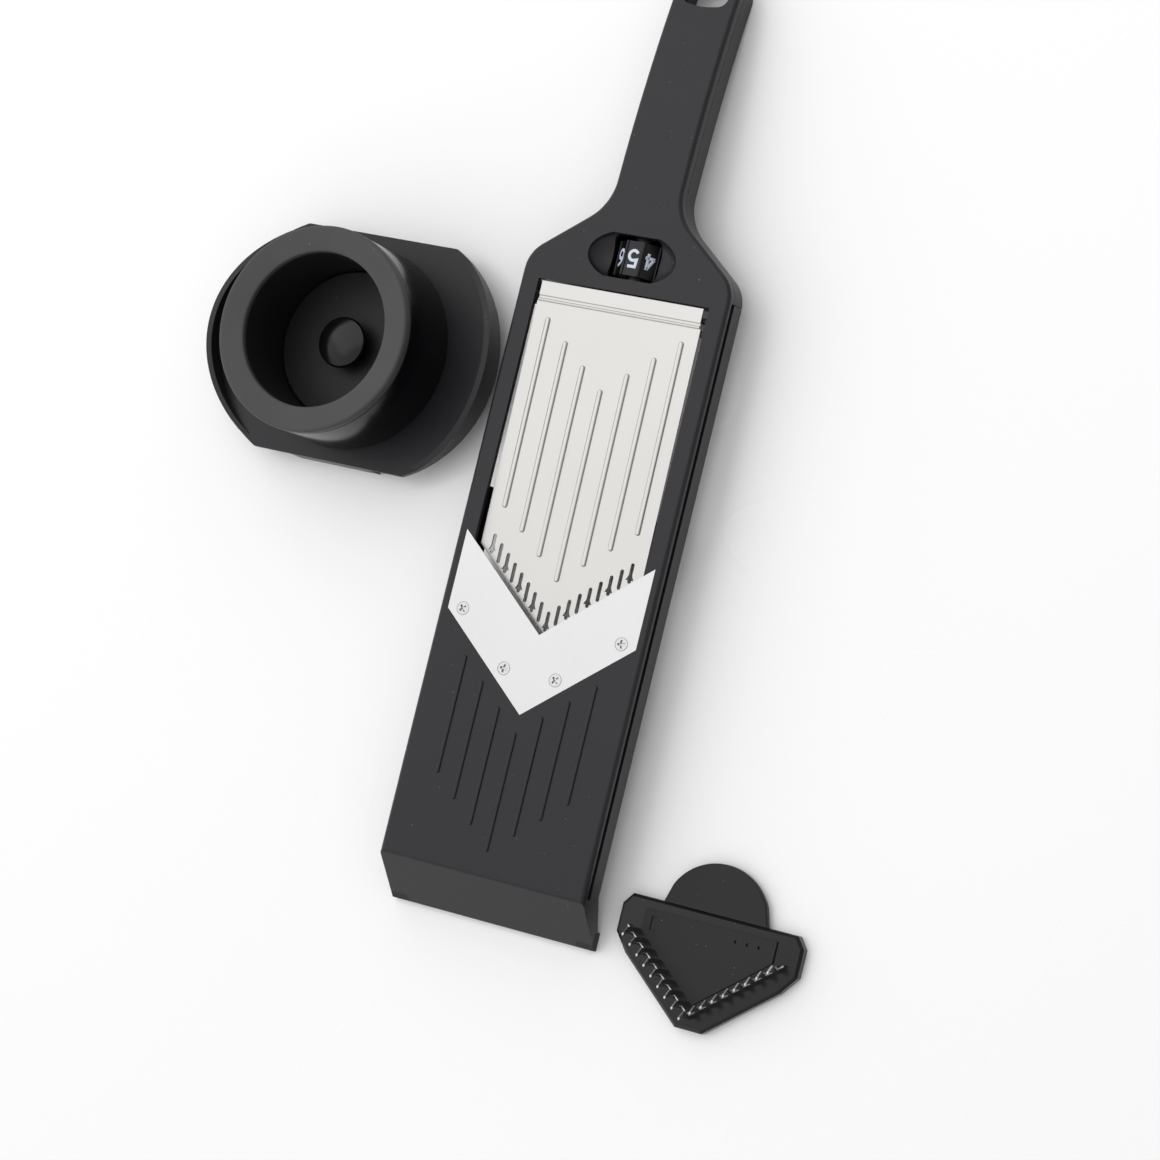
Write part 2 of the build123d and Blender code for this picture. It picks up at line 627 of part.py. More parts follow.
def knife_slots():
    """17 slots for the julienne knives; every second one has a flare for the knife's back."""
    cuts = []
    for index in range(-KNIVES_EACH_SIDE, KNIVES_EACH_SIDE + 1):
        x = index * KNIFE_PITCH
        y = v_y(x, BLADE_Y + SLOT_BACK)
        slot = Pos(x, y + SLOT_LENGTH / 2, 0) * Rot(0, 0, 90) * SlotOverall(SLOT_LENGTH, SLOT_W)
        if index % 2 == 0:
            flare = Polyline((-FLARE_R, y + 1.6), (0, y + 6.0), (FLARE_R, y + 1.6), close=True)
            slot += Pos(x, 0, 0) * make_face(flare)
        cuts.append(extrude(Pos(0, 0, DECK_Z - 6) * slot, 10))
    return cuts


def ramp_plate():
    low = SHEET_Z - SHEET_T
    edge = mirrored([(0, BLADE_Y + RAMP_GAP), (RAMP_HALF, v_y(RAMP_HALF, BLADE_Y + RAMP_GAP)),
                     (RAMP_HALF, SHEET_END_Y), (0, SHEET_END_Y)])
    sheet = prism(edge, low, SHEET_Z)
    sheet += box(-STRIP_HALF, STRIP_HALF, SHEET_END_Y - 1, STRIP_Y0, low, SHEET_Z)
    sheet += rod_x(-STRIP_HALF, STRIP_HALF, SHEET_END_Y + 0.6, SHEET_Z - 0.1, 0.8)    # pressed bead
    strip = box(-STRIP_HALF, STRIP_HALF, STRIP_Y0 - 0.5, STRIP_Y1, SHEET_Z - 0.2, SHEET_Z + STRIP_RISE)
    strip = fillet(strip.edges().filter_by(Axis.X).sort_by(Axis.Z)[-2:], 0.5)
    sheet += strip + box(-STRIP_HALF, STRIP_HALF, STRIP_Y0 - 0.5, STRIP_Y0 + 0.5, low, SHEET_Z)
    flange_y0 = v_y(RAMP_HALF, BLADE_Y + RAMP_GAP) + 8
    for side in (-1, 1):
        x_pair = sorted((side * RAMP_HALF, side * (RAMP_HALF - SHEET_T)))
        sheet += box(*x_pair, flange_y0, SHEET_END_Y - 4, low - FLANGE_H, low + 0.2)
    for rib in ramp_ribs():
        sheet += rib
    for slot in knife_slots():
        sheet -= slot
    return tilted(sheet)


def ramp_carrier():
    """Plastic frame under the sheet: side bars, V bar, cross ribs, follower and hinge knuckles."""
    top = SHEET_Z - SHEET_T
    outer = RAMP_HALF - SHEET_T
    inner = outer - CARRIER_BAR_W
    start = BLADE_Y + CARRIER_FRONT_BACK
    frame = chevron(start + CARRIER_BAR_T, CARRIER_BAR_T, inner + 1, top - CARRIER_BAR_T, top)
    for side in (-1, 1):
        x_pair = sorted((side * inner, side * outer))
        frame += box(*x_pair, v_y(inner, start), PIN_Y - 5, top - CARRIER_BAR_T, top)
        knuckle_x = sorted((side * (outer - 3.0), side * (outer - 3.0 - KNUCKLE_W)))
        frame += box(*knuckle_x, PIN_Y - 9, PIN_Y, PIN_Z - 1, top)
        frame += rod_x(*knuckle_x, PIN_Y, PIN_Z, KNUCKLE_R)
    for y in (CAM_Y + 12.5, (CAM_Y + PIN_Y) / 2 - 1.25, PIN_Y - 13):
        frame += box(-inner - 1, inner + 1, y - 1.5, y + 1.5, top - CARRIER_RIB_T, top)
    frame += box(-FOLLOWER_HALF, FOLLOWER_HALF, CAM_Y - CAM_W / 2, PIN_Y - 12, top - CARRIER_RIB_T, top)
    follower_z = SHAFT_Z + CAM_R + CAM_CLEARANCE
    frame += box(-FOLLOWER_HALF, FOLLOWER_HALF, CAM_Y - CAM_W / 2, CAM_Y + CAM_W / 2, follower_z, top)
    frame -= rod_x(-HALF_WIDTH, HALF_WIDTH, PIN_Y, PIN_Z, PIN_R + PIN_FIT)
    frame &= box(-outer, outer, BLADE_Y, PIN_Y + 5, 0, top)
    return tilted(frame)


def hinge_pin():
    pin = rod_x(-HALF_WIDTH + WALL + 1, HALF_WIDTH - WALL - 1, PIN_Y, PIN_Z, PIN_R)
    return chamfer(pin.edges(), 0.3)


def ramp_springs():
    """Two torsion springs round the hinge pin: one leg reaches under the sheet, one hangs down."""
    pitch = SPRING_WIRE + 0.1
    springs = []
    for side in (-1, 1):
        place = Pos(side * SPRING_X, PIN_Y, PIN_Z) * Rot(0, -90, 0)
        coil = place * Helix(pitch, SPRING_TURNS * pitch, SPRING_R)
        legs = [Line(coil @ 0 - (coil % 0) * 11, coil @ 0), Line(coil @ 1, coil @ 1 + (coil % 1) * 5)]
        path = Wire([legs[0].edge(), coil.edge(), legs[1].edge()])
        section = Plane(origin=path @ 0, z_dir=path % 0) * Circle(SPRING_WIRE / 2)
        springs.append(sweep(section, path=path))
    return group(springs)


def d_bar(y0, y1, grow=0.0):
    """Round bar along the shaft's axis with one flat."""
    bar = rod_y(0, y0, y1, SHAFT_Z, SHAFT_R + grow)
    flat = SHAFT_Z + SHAFT_R - SHAFT_FLAT + grow
    return bar - box(-5, 5, y0 - 1, y1 + 1, flat, flat + 5)


def clip_places():
    return ((SHAFT_Y0 + 1.0, SHAFT_Y0 + 1.8), (SHAFT_Y1 - 1.3, SHAFT_Y1 - 0.5))


def dial_shaft():
    shaft = d_bar(SHAFT_Y0, SHAFT_Y1)
    for y0, y1 in clip_places():
        shaft -= rod_y(0, y0, y1, SHAFT_Z, SHAFT_R + 1) - rod_y(0, y0, y1, SHAFT_Z, SHAFT_R - 0.5)
    return shaft


def shaft_clips():
    return group([rod_y(0, y0, y1, SHAFT_Z, SHAFT_R + 1.3) - rod_y(0, y0, y1, SHAFT_Z, SHAFT_R - 0.5)
                  for y0, y1 in clip_places()])


def around_shaft(angle, shape):
    """Turn a piece about the shaft; positive angles turn its top to the right."""
    return Pos(0, 0, SHAFT_Z) * Rot(0, angle, 0) * Pos(0, 0, -SHAFT_Z) * shape


def dial_wheel():
    """Eight-sided drum with a grip ridge on each corner, a hub in front of it and a notched collar
    for the click spring behind it."""
    y0, y1 = DIAL_Y - DIAL_LENGTH / 2, DIAL_Y + DIAL_LENGTH / 2
    corner = DIAL_FLAT_R / cos(radians(FACET / 2))
    sides = Plane.XZ * Pos(0, SHAFT_Z) * Rot(0, 0, FACET / 2) * RegularPolygon(corner, SETTINGS)
    drum = extrude(Pos(0, DIAL_Y, 0) * sides, DIAL_LENGTH / 2, both=True)
    ridge = box(-DIAL_RIDGE_W / 2, DIAL_RIDGE_W / 2, y0, y1, SHAFT_Z + DIAL_FLAT_R - 1,
                SHAFT_Z + DIAL_RIDGE_R)
    ridge = fillet(ridge.edges().filter_by(Axis.Y).sort_by(Axis.Z)[-2:], 0.5)
    for index in range(SETTINGS):
        drum += around_shaft((index + 0.5) * FACET, ridge)
    hub_y = NECK_WALL[1] + 0.4
    drum += rod_y(0, hub_y, y0 + 0.1, SHAFT_Z, CLICK_R)
    drum += rod_y(0, y1 - 0.1, y1 + CLICK_LENGTH, SHAFT_Z, CLICK_R)
    notch = rod_y(0, y1 + CLICK_LENGTH - CLICK_SPRING_W, y1 + CLICK_LENGTH + 1,
                  SHAFT_Z + CLICK_R + 0.8, 1.6)
    for index in range(SETTINGS):
        drum -= around_shaft(index * FACET, notch)
    return drum - d_bar(hub_y - 1, y1 + CLICK_LENGTH + 1, 0.02)


def click_spring():
    """Steel strip beside the notched collar, its foot bent out under the shoulder."""
    y1 = REAR_RIB[0] - 0.2
    y0 = y1 - CLICK_SPRING_W
    x0 = CLICK_R + CLICK_GAP
    z0, z1 = SHAFT_Z - 9.5, SHAFT_Z + 6.0
    return box(x0, x0 + CLICK_LEAF_T, y0, y1, z0, z1) + box(x0, x0 + 5, y0, y1, z1 - CLICK_LEAF_T, z1)


def height_cam():
    """Spiral cam: its radius falls evenly, one step for each setting."""
    first, last = -2.5 * FACET, (REST_SETTING + 0.1) * FACET
    count = 24
    points = []
    for index in range(count + 1):
        angle = first + (last - first) * index / count
        radius = CAM_R - CAM_STEP * (REST_SETTING - angle / FACET)
        points.append((radius * sin(radians(angle)), SHAFT_Z + radius * cos(radians(angle))))
    spiral = Spline(*points)
    face = make_face([spiral, Line(points[-1], points[0])])
    disc = extrude(Pos(0, CAM_Y, 0) * (Plane.XZ * face), CAM_W / 2, both=True)
    return disc - d_bar(CAM_Y - CAM_W, CAM_Y + CAM_W, 0.02)


def cam_bridge():
    """Bar across the rails that carries the front of the shaft."""
    y0, y1 = BRIDGE_Y - BRIDGE_W / 2, BRIDGE_Y + BRIDGE_W / 2
    half = HALF_WIDTH - WALL - 0.2
    bar = box(-half, half, y0, y1, BRIDGE_Z0, BRIDGE_Z0 + BRIDGE_H)
    bar += rod_y(0, y0, y1, SHAFT_Z, BUSH_R + 1.6)
    bar -= rod_y(0, y0, y1, SHAFT_Z, BUSH_R)
    for side in (-1, 1):
        bar -= post(side * BRIDGE_SCREW_X, BRIDGE_Y, 0, DECK_Z, COVER_SCREW_R + 0.2)
        bar -= box(*sorted((side * 10, side * 42)), y0 + 2, y1 - 2, BRIDGE_Z0 - 1, BRIDGE_Z0 + BRIDGE_H - 2)
    return bar


def bridge_screws():
    return group([pan_screw(side * BRIDGE_SCREW_X, BRIDGE_Y, BRIDGE_Z0, DECK_Z - DECK_T - 2)
                  for side in (-1, 1)])


def tray_face(inset=0.0):
    """Tray outline: straight sides, which run along the slicer in use, and bowed ends."""
    half, straight, end = TRAY_HALF - inset, TRAY_STRAIGHT, TRAY_END - inset
    edges = [Line((half, -straight), (half, straight)),
             ThreePointArc((half, straight), (0, end), (-half, straight)),
             Line((-half, straight), (-half, -straight)),
             ThreePointArc((-half, -straight), (0, -end), (half, -straight))]
    return make_face(edges)


def holder_at(shape):
    return Pos(HOLDER_X, HOLDER_Y, 0) * Rot(0, 0, 90) * shape


def holder_tray():
    """Plate with raised rims on its bowed ends and a hooked tab on each side."""
    plate = column(tray_face(), TRAY_Z, TRAY_Z + TRAY_T)
    rim_top = TRAY_Z + TRAY_RIM_H
    rim = column(tray_face(), TRAY_Z, rim_top) - column(tray_face(TRAY_RIM_T), TRAY_Z, rim_top)
    crown = ThreePointArc((-TRAY_HALF - 1, TRAY_Z), (0, TRAY_Z + TRAY_RIM_H), (TRAY_HALF + 1, TRAY_Z))
    rim &= extrude(Plane.XZ * make_face([crown, Line(crown @ 1, crown @ 0)]), 2 * TRAY_END, both=True)
    tray = plate + (rim - box(-70, 70, -TRAY_STRAIGHT, TRAY_STRAIGHT, 0, 60))
    inner = HALF_WIDTH + HOLDER_GAP
    groove_z = TRAY_Z - GROOVE_TOP
    for side in (-1, 1):
        tray += box(*sorted((side * inner, side * TRAY_HALF)), -TAB_HALF, TAB_HALF, 0, TRAY_Z + 0.5)
        tray += box(*sorted((side * (inner - GROOVE_DEPTH), side * TRAY_HALF)), -TAB_HALF, TAB_HALF,
                    groove_z - GROOVE_H + HOOK_FIT, groove_z - HOOK_FIT)
    tray -= post(0, 0, 0, 60, SLEEVE_R)
    return holder_at(tray)


def holder_tube():
    z0, z1 = TRAY_Z + TRAY_T, TRAY_Z + TRAY_T + TUBE_H - RING_H
    return holder_at(post(0, 0, z0, z1, TUBE_R) - post(0, 0, z0, z1, TUBE_R - TUBE_WALL))


def holder_sleeve():
    """Inner tube with a ledge that stops the pusher."""
    z0, z1 = TRAY_Z + TRAY_T, TRAY_Z + TRAY_T + TUBE_H - RING_H
    sleeve = post(0, 0, z0, z1, SLEEVE_R + SLEEVE_WALL) - post(0, 0, z0, z1, SLEEVE_R)
    ledge = post(0, 0, z0, z0 + LEDGE_T, SLEEVE_R + 0.5)
    ledge -= post(0, 0, z0, z0 + LEDGE_T, SLEEVE_R - PUSHER_LEDGE)
    return holder_at(sleeve + ledge)


def holder_ring():
    """Cap over the two tubes; its top slopes gently down into the opening."""
    z0 = TRAY_Z + TRAY_T + TUBE_H - RING_H
    profile = make_face(Polyline((SLEEVE_R, z0), (TUBE_R, z0), (TUBE_R, z0 + RING_H),
                                 (SLEEVE_R, z0 + RING_H - RING_SLOPE), close=True))
    ring = revolve(Plane.XZ * profile, Axis.Z)
    rims = [e for e in ring.edges() if e.center().Z > z0 + 0.5 and e.geom_type == GeomType.CIRCLE]
    return holder_at(fillet(rims, 1.0))


def pusher_z():
    return TRAY_Z + TRAY_T + LEDGE_T + PUSHER_LIFT


def pin_places():
    turns = [radians(360.0 * index / FOOD_PINS) for index in range(FOOD_PINS)]
    return [(PIN_RING_R * sin(turn), PIN_RING_R * cos(turn)) for turn in turns]


def pusher_disc():
    z = pusher_z()
    disc = post(0, 0, z, z + PUSHER_T, SLEEVE_R - PUSHER_FIT)
    disc = fillet(disc.edges().sort_by(Axis.Z)[-1], 0.8)
    for x, y in pin_places():
        disc -= post(x, y, z - 1, z + PUSHER_T - FOOD_PIN_SKIN, FOOD_PIN_R)
    disc -= post(0, 0, z - 1, z + 10, KNOB_STEM_R + PIN_SEAT)
    return holder_at(disc)


def pusher_pins():
    z = pusher_z() + PUSHER_T - FOOD_PIN_SKIN
    cone_h = 2.4
    pins = []
    for x, y in pin_places():
        tip = Pos(x, y, z - FOOD_PIN_LENGTH + cone_h / 2) * Cone(0.15, FOOD_PIN_R, cone_h)
        pins.append(holder_at(tip + post(x, y, z - FOOD_PIN_LENGTH + cone_h, z, FOOD_PIN_R)))
    return group(pins)


def pusher_knob():
    """Low mushroom knob, its stem through the middle of the disc."""
    z = pusher_z()
    top = z + PUSHER_T
    profile = make_face(Polyline((0, z), (KNOB_STEM_R, z), (KNOB_STEM_R, top), (KNOB_STEM_R + 3.5, top),
                                 (KNOB_STEM_R + 2, top + 4), (KNOB_STEM_R + 9, top + 8),
                                 (KNOB_STEM_R + 9, top + 10), (0, top + 12.5), close=True))
    knob = revolve(Plane.XZ * profile, Axis.Z)
    rims = [e for e in knob.edges() if e.geom_type == GeomType.CIRCLE and e.center().Z > z + 10]
    return holder_at(fillet(rims, 0.8))


def julienne_at(shape):
    return Pos(INSERT_X, INSERT_Y, 0) * shape


def julienne_outline(inset):
    """Home-plate outline, its front corner and side corners clipped."""
    half, clip = JULIENNE_HALF - inset, JULIENNE_CLIP
    front = V_RISE * clip + inset
    side_y = V_RISE * (half - clip) + inset * 1.2
    return mirrored([(0, front), (clip, front), (half - clip, side_y), (half, side_y + 1.3 * clip),
                     (half, JULIENNE_DEPTH - inset - clip * 0.8), (half - clip * 0.6, JULIENNE_DEPTH - inset),
                     (0, JULIENNE_DEPTH - inset)])


def comb_y(x):
    return COMB_BACK + V_RISE * abs(x)


def knife_positions():
    return [index * KNIFE_PITCH for index in range(-KNIVES_EACH_SIDE, KNIVES_EACH_SIDE + 1)]


def julienne_comb():
    """Upright V strip with 17 knives, each standing along the cutting direction."""
    reach = KNIVES_EACH_SIDE * KNIFE_PITCH + 3.0
    strip = prism(mirrored([(0, COMB_BACK - COMB_T / 2), (reach, comb_y(reach) - COMB_T / 2),
                            (reach, comb_y(reach) + COMB_T / 2), (0, COMB_BACK + COMB_T / 2)]),
                  JULIENNE_T, JULIENNE_T + COMB_STRIP_H)
    for x in knife_positions():
        y = comb_y(x)
        z0, z1 = JULIENNE_T, JULIENNE_T + KNIFE_H
        fore, back = y - KNIFE_W / 2, y + KNIFE_W / 2
        tip, heel = (fore - 0.3, z1), (back - 1.1, z1 - 4.0)
        edges = [ThreePointArc((fore, z0), (fore + 0.5, (z0 + z1) / 2), tip), Line(tip, heel),
                 Line(heel, (back, z0)), Line((back, z0), (fore, z0))]
        knife = extrude(Plane.YZ * make_face(edges), COMB_T / 2, both=True)
        strip += Pos(x, 0, 0) * knife
    return julienne_at(strip)


def julienne_base():
    base = prism(julienne_outline(0), 0, JULIENNE_T)
    rims = [e for e in base.edges() if abs(e.center().Z - JULIENNE_T) < 0.01]
    return julienne_at(chamfer(rims, 1.4))


def julienne_panel():
    """Matt panel behind the comb, with a slot and three small holes."""
    start, half, end = COMB_BACK + PANEL_BACK, JULIENNE_HALF - 13.0, JULIENNE_DEPTH - 5.0
    outline = mirrored([(0, start), (half, v_y(half, start)), (half, end), (0, end)])
    panel = prism(outline, JULIENNE_T, JULIENNE_T + PANEL_T)
    panel -= box(-30, -27, 47, 54, JULIENNE_T + 0.5, JULIENNE_T + 3)
    for index in range(3):
        panel -= post(14 + 6 * index, JULIENNE_DEPTH - 10, JULIENNE_T, JULIENNE_T + 3, 0.8)
    return julienne_at(panel)


def julienne_grip():
    """Round-ended finger tab behind the base."""
    y0, y1 = JULIENNE_DEPTH, JULIENNE_DEPTH + GRIP_LENGTH
    edges = [Line((-GRIP_HALF, y0), (GRIP_HALF, y0)), Line((GRIP_HALF, y0), (GRIP_HALF * 0.9, y0 + 9)),
             ThreePointArc((GRIP_HALF * 0.9, y0 + 9), (0, y1), (-GRIP_HALF * 0.9, y0 + 9)),
             Line((-GRIP_HALF * 0.9, y0 + 9), (-GRIP_HALF, y0))]
    face = make_face(edges)
    tab = column(face, JULIENNE_T - GRIP_T - 1, JULIENNE_T - 1)
    rims = [e for e in tab.edges() if e.center().Y > y0 + 0.1 and abs(e.center().Z - JULIENNE_T + 1) < 0.01]
    return julienne_at(fillet(rims, 1.0))


def build():
    block = body_block()
    cavity = body_cavity()
    return {
        "body_shell": body_shell(block, cavity),
        "handle_cover": handle_cover(block, cavity),
        "left_foot": foot(-1),
        "right_foot": foot(1),
        "v_blade": v_blade(),
        "blade_screws": blade_screws(),
        "blade_inserts": blade_inserts(),
        "ramp_plate": ramp_plate(),
        "ramp_carrier": ramp_carrier(),
        "hinge_pin": hinge_pin(),
        "ramp_springs": ramp_springs(),
        "cam_bridge": cam_bridge(),
        "bridge_screws": bridge_screws(),
        "front_bush": front_bush(),
        "neck_bush": neck_bush(),
        "rear_bush": rear_bush(),
        "dial_shaft": dial_shaft(),
        "shaft_clips": shaft_clips(),
        "dial_wheel": dial_wheel(),
        "height_cam": height_cam(),
        "click_spring": click_spring(),
        "cover_screws": cover_screws(),
        "holder_tray": holder_tray(),
        "holder_tube": holder_tube(),
        "holder_sleeve": holder_sleeve(),
        "holder_ring": holder_ring(),
        "pusher_disc": pusher_disc(),
        "pusher_pins": pusher_pins(),
        "pusher_knob": pusher_knob(),
        "julienne_base": julienne_base(),
        "julienne_panel": julienne_panel(),
        "julienne_grip": julienne_grip(),
        "julienne_comb": julienne_comb(),
    }


if __name__ == "__main__":
    os.makedirs("parts", exist_ok=True)
    for name, shape in build().items():
        export_step(shape, f"parts/{name}.step")
        print(name, round(shape.volume, 1))
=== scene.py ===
import json
import math

import bmesh
import bpy
import numpy as np
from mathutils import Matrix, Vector


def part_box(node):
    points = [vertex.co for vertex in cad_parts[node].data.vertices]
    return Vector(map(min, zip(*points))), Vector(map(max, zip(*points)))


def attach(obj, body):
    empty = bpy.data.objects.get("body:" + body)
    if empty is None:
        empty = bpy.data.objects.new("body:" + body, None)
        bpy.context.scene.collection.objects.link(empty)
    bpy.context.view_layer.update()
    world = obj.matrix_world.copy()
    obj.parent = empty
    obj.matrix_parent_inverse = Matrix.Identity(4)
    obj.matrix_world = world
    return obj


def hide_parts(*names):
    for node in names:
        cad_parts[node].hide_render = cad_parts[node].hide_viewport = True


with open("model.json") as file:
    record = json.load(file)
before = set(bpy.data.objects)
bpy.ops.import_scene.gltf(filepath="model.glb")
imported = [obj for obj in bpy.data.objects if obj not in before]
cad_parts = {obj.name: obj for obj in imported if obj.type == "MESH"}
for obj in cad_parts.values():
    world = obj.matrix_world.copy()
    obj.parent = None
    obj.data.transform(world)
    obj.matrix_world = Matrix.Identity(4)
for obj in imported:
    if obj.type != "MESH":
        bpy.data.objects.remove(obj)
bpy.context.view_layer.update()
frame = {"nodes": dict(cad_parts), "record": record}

bl_info = {
    "name": "Mandoline Slicer",
    "version": (1, 0, 0),
    "blender": (4, 5, 0),
    "location": "3D View > Sidebar > Slicer",
    "description": "Finishes and fine parts of a V-blade vegetable slicer, its holder and insert",
    "category": "Object",
}

MM = 0.001
MIDDLE_Y = 0.24           # middle of the slicer along its length, which the lights aim at
SCREW_SPLIT_X = 0.028     # the inner blade screws lie nearer the centre line than this
SCREW_SPINS = (-0.15, 0.75, 0.85, 1.75)      # where each cross stopped, in radians
ARM_HALF, ARM_FLANK = 0.18, 0.065            # cross arm: half width and slope, shares of the head
ARM_END, ARM_END_FALL = 0.62, 0.12           # cross arm: reach and slope at its end
RIM_START = 0.93                             # where a screw head starts to fall to its edge


# ---------------------------------------------------------------- surfaces

def sheet_mesh(name, points, ring=False, loop=False):
    """One surface from a grid of points: neighbouring rows and columns make the faces.

    points has the shape (..., rows, columns, 3); leading axes are separate copies of the surface.
    ring joins the last row to the first, and loop the last column to the first.
    """
    points = np.asarray(points, float)
    rows, columns = points.shape[-3:-1]
    grids = points.reshape(-1, rows, columns, 3)
    index = np.arange(rows * columns).reshape(rows, columns)
    if ring:
        index = np.vstack([index, index[:1]])
    if loop:
        index = np.hstack([index, index[:, :1]])
    corners = np.stack([index[:-1, :-1], index[:-1, 1:], index[1:, 1:], index[1:, :-1]], -1)
    starts = np.arange(len(grids)) * rows * columns
    faces = (corners.reshape(1, -1, 4) + starts[:, None, None]).reshape(-1, 4)
    mesh = bpy.data.meshes.new(name)
    mesh.vertices.add(grids.size // 3)
    mesh.vertices.foreach_set("co", grids.ravel())
    mesh.loops.add(faces.size)
    mesh.loops.foreach_set("vertex_index", faces.ravel())
    mesh.polygons.add(len(faces))
    mesh.polygons.foreach_set("loop_start", np.arange(len(faces)) * 4)
    mesh.update(calc_edges=True)
    return mesh


def welded(mesh, angle=38.0):
    """Closes seams and poles, turns the faces outwards and shades smooth up to an edge angle."""
    work = bmesh.new()
    work.from_mesh(mesh)
    bmesh.ops.remove_doubles(work, verts=work.verts, dist=2e-7)
    bmesh.ops.dissolve_degenerate(work, edges=work.edges, dist=1e-8)
    bmesh.ops.recalc_face_normals(work, faces=work.faces)
    for face in work.faces:
        face.smooth = True
    for edge in work.edges:
        edge.smooth = len(edge.link_faces) == 2 and edge.calc_face_angle() < math.radians(angle)
    work.to_mesh(mesh)
    work.free()
    return mesh


def rounded(corners, trims, steps=6, closed=True):
    """Outline through corners, each cut back by its trim on both sides and bridged by a parabola.

    With A and B the cut-back points beside corner C, the bridge is (1-s)^2 A + 2s(1-s) C + s^2 B.
    """
    corners = np.asarray(corners, float)
    trims = np.broadcast_to(np.asarray(trims, float), len(corners)).copy()
    if not closed:
        trims[[0, -1]] = 0.0
    before, after = np.roll(corners, 1, 0) - corners, np.roll(corners, -1, 0) - corners
    before /= np.linalg.norm(before, axis=1, keepdims=True)
    after /= np.linalg.norm(after, axis=1, keepdims=True)
    start, end = corners + before * trims[:, None], corners + after * trims[:, None]
    s = np.linspace(0.0, 1.0, steps)[None, :, None]
    bridge = (1 - s) ** 2 * start[:, None] + 2 * s * (1 - s) * corners[:, None] + s ** 2 * end[:, None]
    return bridge.reshape(-1, 2)


def turned(name, outline, centre, closed=True, segments=128):
    """Surface of revolution: each (radius, height) of the outline goes round the centre's axis."""
    turn = np.linspace(0.0, 2 * np.pi, segments, endpoint=False)[:, None]
    radius, height = outline[None, :, 0], outline[None, :, 1]
    points = np.stack([centre[0] + radius * np.cos(turn), centre[1] + radius * np.sin(turn),
                       height + 0.0 * turn], -1)
    return welded(sheet_mesh(name, points, ring=True, loop=closed))


def ribbon(path, half_width, thickness, closed=False):
    """Flat band of even width along a plane path, with mitred corners and eased upper edges.

    The mitre at a point between unit normals m and n is (m + n) / (1 + m.n). The result is a grid
    of rings round the band, in (across, along, height); an open band's ends shrink to a point.
    """
    path = np.asarray(path, float)
    if closed:
        step_in, step_out = path - np.roll(path, 1, 0), np.roll(path, -1, 0) - path
    else:
        step = np.diff(path, axis=0)
        step_in, step_out = np.vstack([step[:1], step]), np.vstack([step, step[-1:]])
    step_in /= np.linalg.norm(step_in, axis=1, keepdims=True)
    step_out /= np.linalg.norm(step_out, axis=1, keepdims=True)
    normal_in, normal_out = step_in[:, ::-1] * [-1, 1], step_out[:, ::-1] * [-1, 1]
    mitre = (normal_in + normal_out) / (1 + np.sum(normal_in * normal_out, 1, keepdims=True))
    ease = min(0.12 * MM, half_width / 3)
    across = np.array([-half_width, -half_width, ease - half_width, half_width - ease, half_width,
                       half_width])
    height = np.array([0.0, 0.6, 1.0, 1.0, 0.6, 0.0]) * thickness
    rings = path[:, None] + mitre[:, None] * across[None, :, None]
    rings = np.concatenate([rings, np.broadcast_to(height[None, :, None], (*rings.shape[:2], 1))], 2)
    if closed:
        return rings
    ends = rings[[0, -1]].mean(1, keepdims=True) + np.zeros((2, 6, 3))
    return np.concatenate([ends[:1], rings, ends[1:]])


def place(mesh, body, finish, replaces=()):
    """Puts a finished mesh into the scene, on its body, in place of the CAD nodes it stands for."""
    piece = bpy.data.objects.new(mesh.name, mesh)
    bpy.context.scene.collection.objects.link(piece)
    mesh.materials.append(finish)
    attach(piece, body)
    if replaces:
        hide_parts(*replaces)
    return piece


def joined_meshes(name, meshes):
    """One mesh out of several, in the order given."""
    work = bmesh.new()
    for mesh in meshes:
        work.from_mesh(mesh)
        bpy.data.meshes.remove(mesh)
    whole = bpy.data.meshes.new(name)
    work.to_mesh(whole)
    work.free()
    return whole


def extent(node):
    """Lowest and highest corner of a CAD node as arrays."""
    low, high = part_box(node)
    return np.array(low), np.array(high)


# ---------------------------------------------------------------- materials

class Signal:
    """A value in a material. Sums, differences and products of it add Math nodes."""

    def __init__(self, paint, socket):
        self.paint, self.socket = paint, socket

    def _math(self, operation, first, second):
        return self.paint.node("ShaderNodeMath", {"operation": operation}, {0: first, 1: second})

    def __add__(self, other):
        return self._math("ADD", self, other)

    def __radd__(self, other):
        return self._math("ADD", other, self)

    def __sub__(self, other):
        return self._math("SUBTRACT", self, other)

    def __rsub__(self, other):
        return self._math("SUBTRACT", other, self)

    def __mul__(self, other):
        return self._math("MULTIPLY", self, other)

    def __rmul__(self, other):
        return self._math("MULTIPLY", other, self)


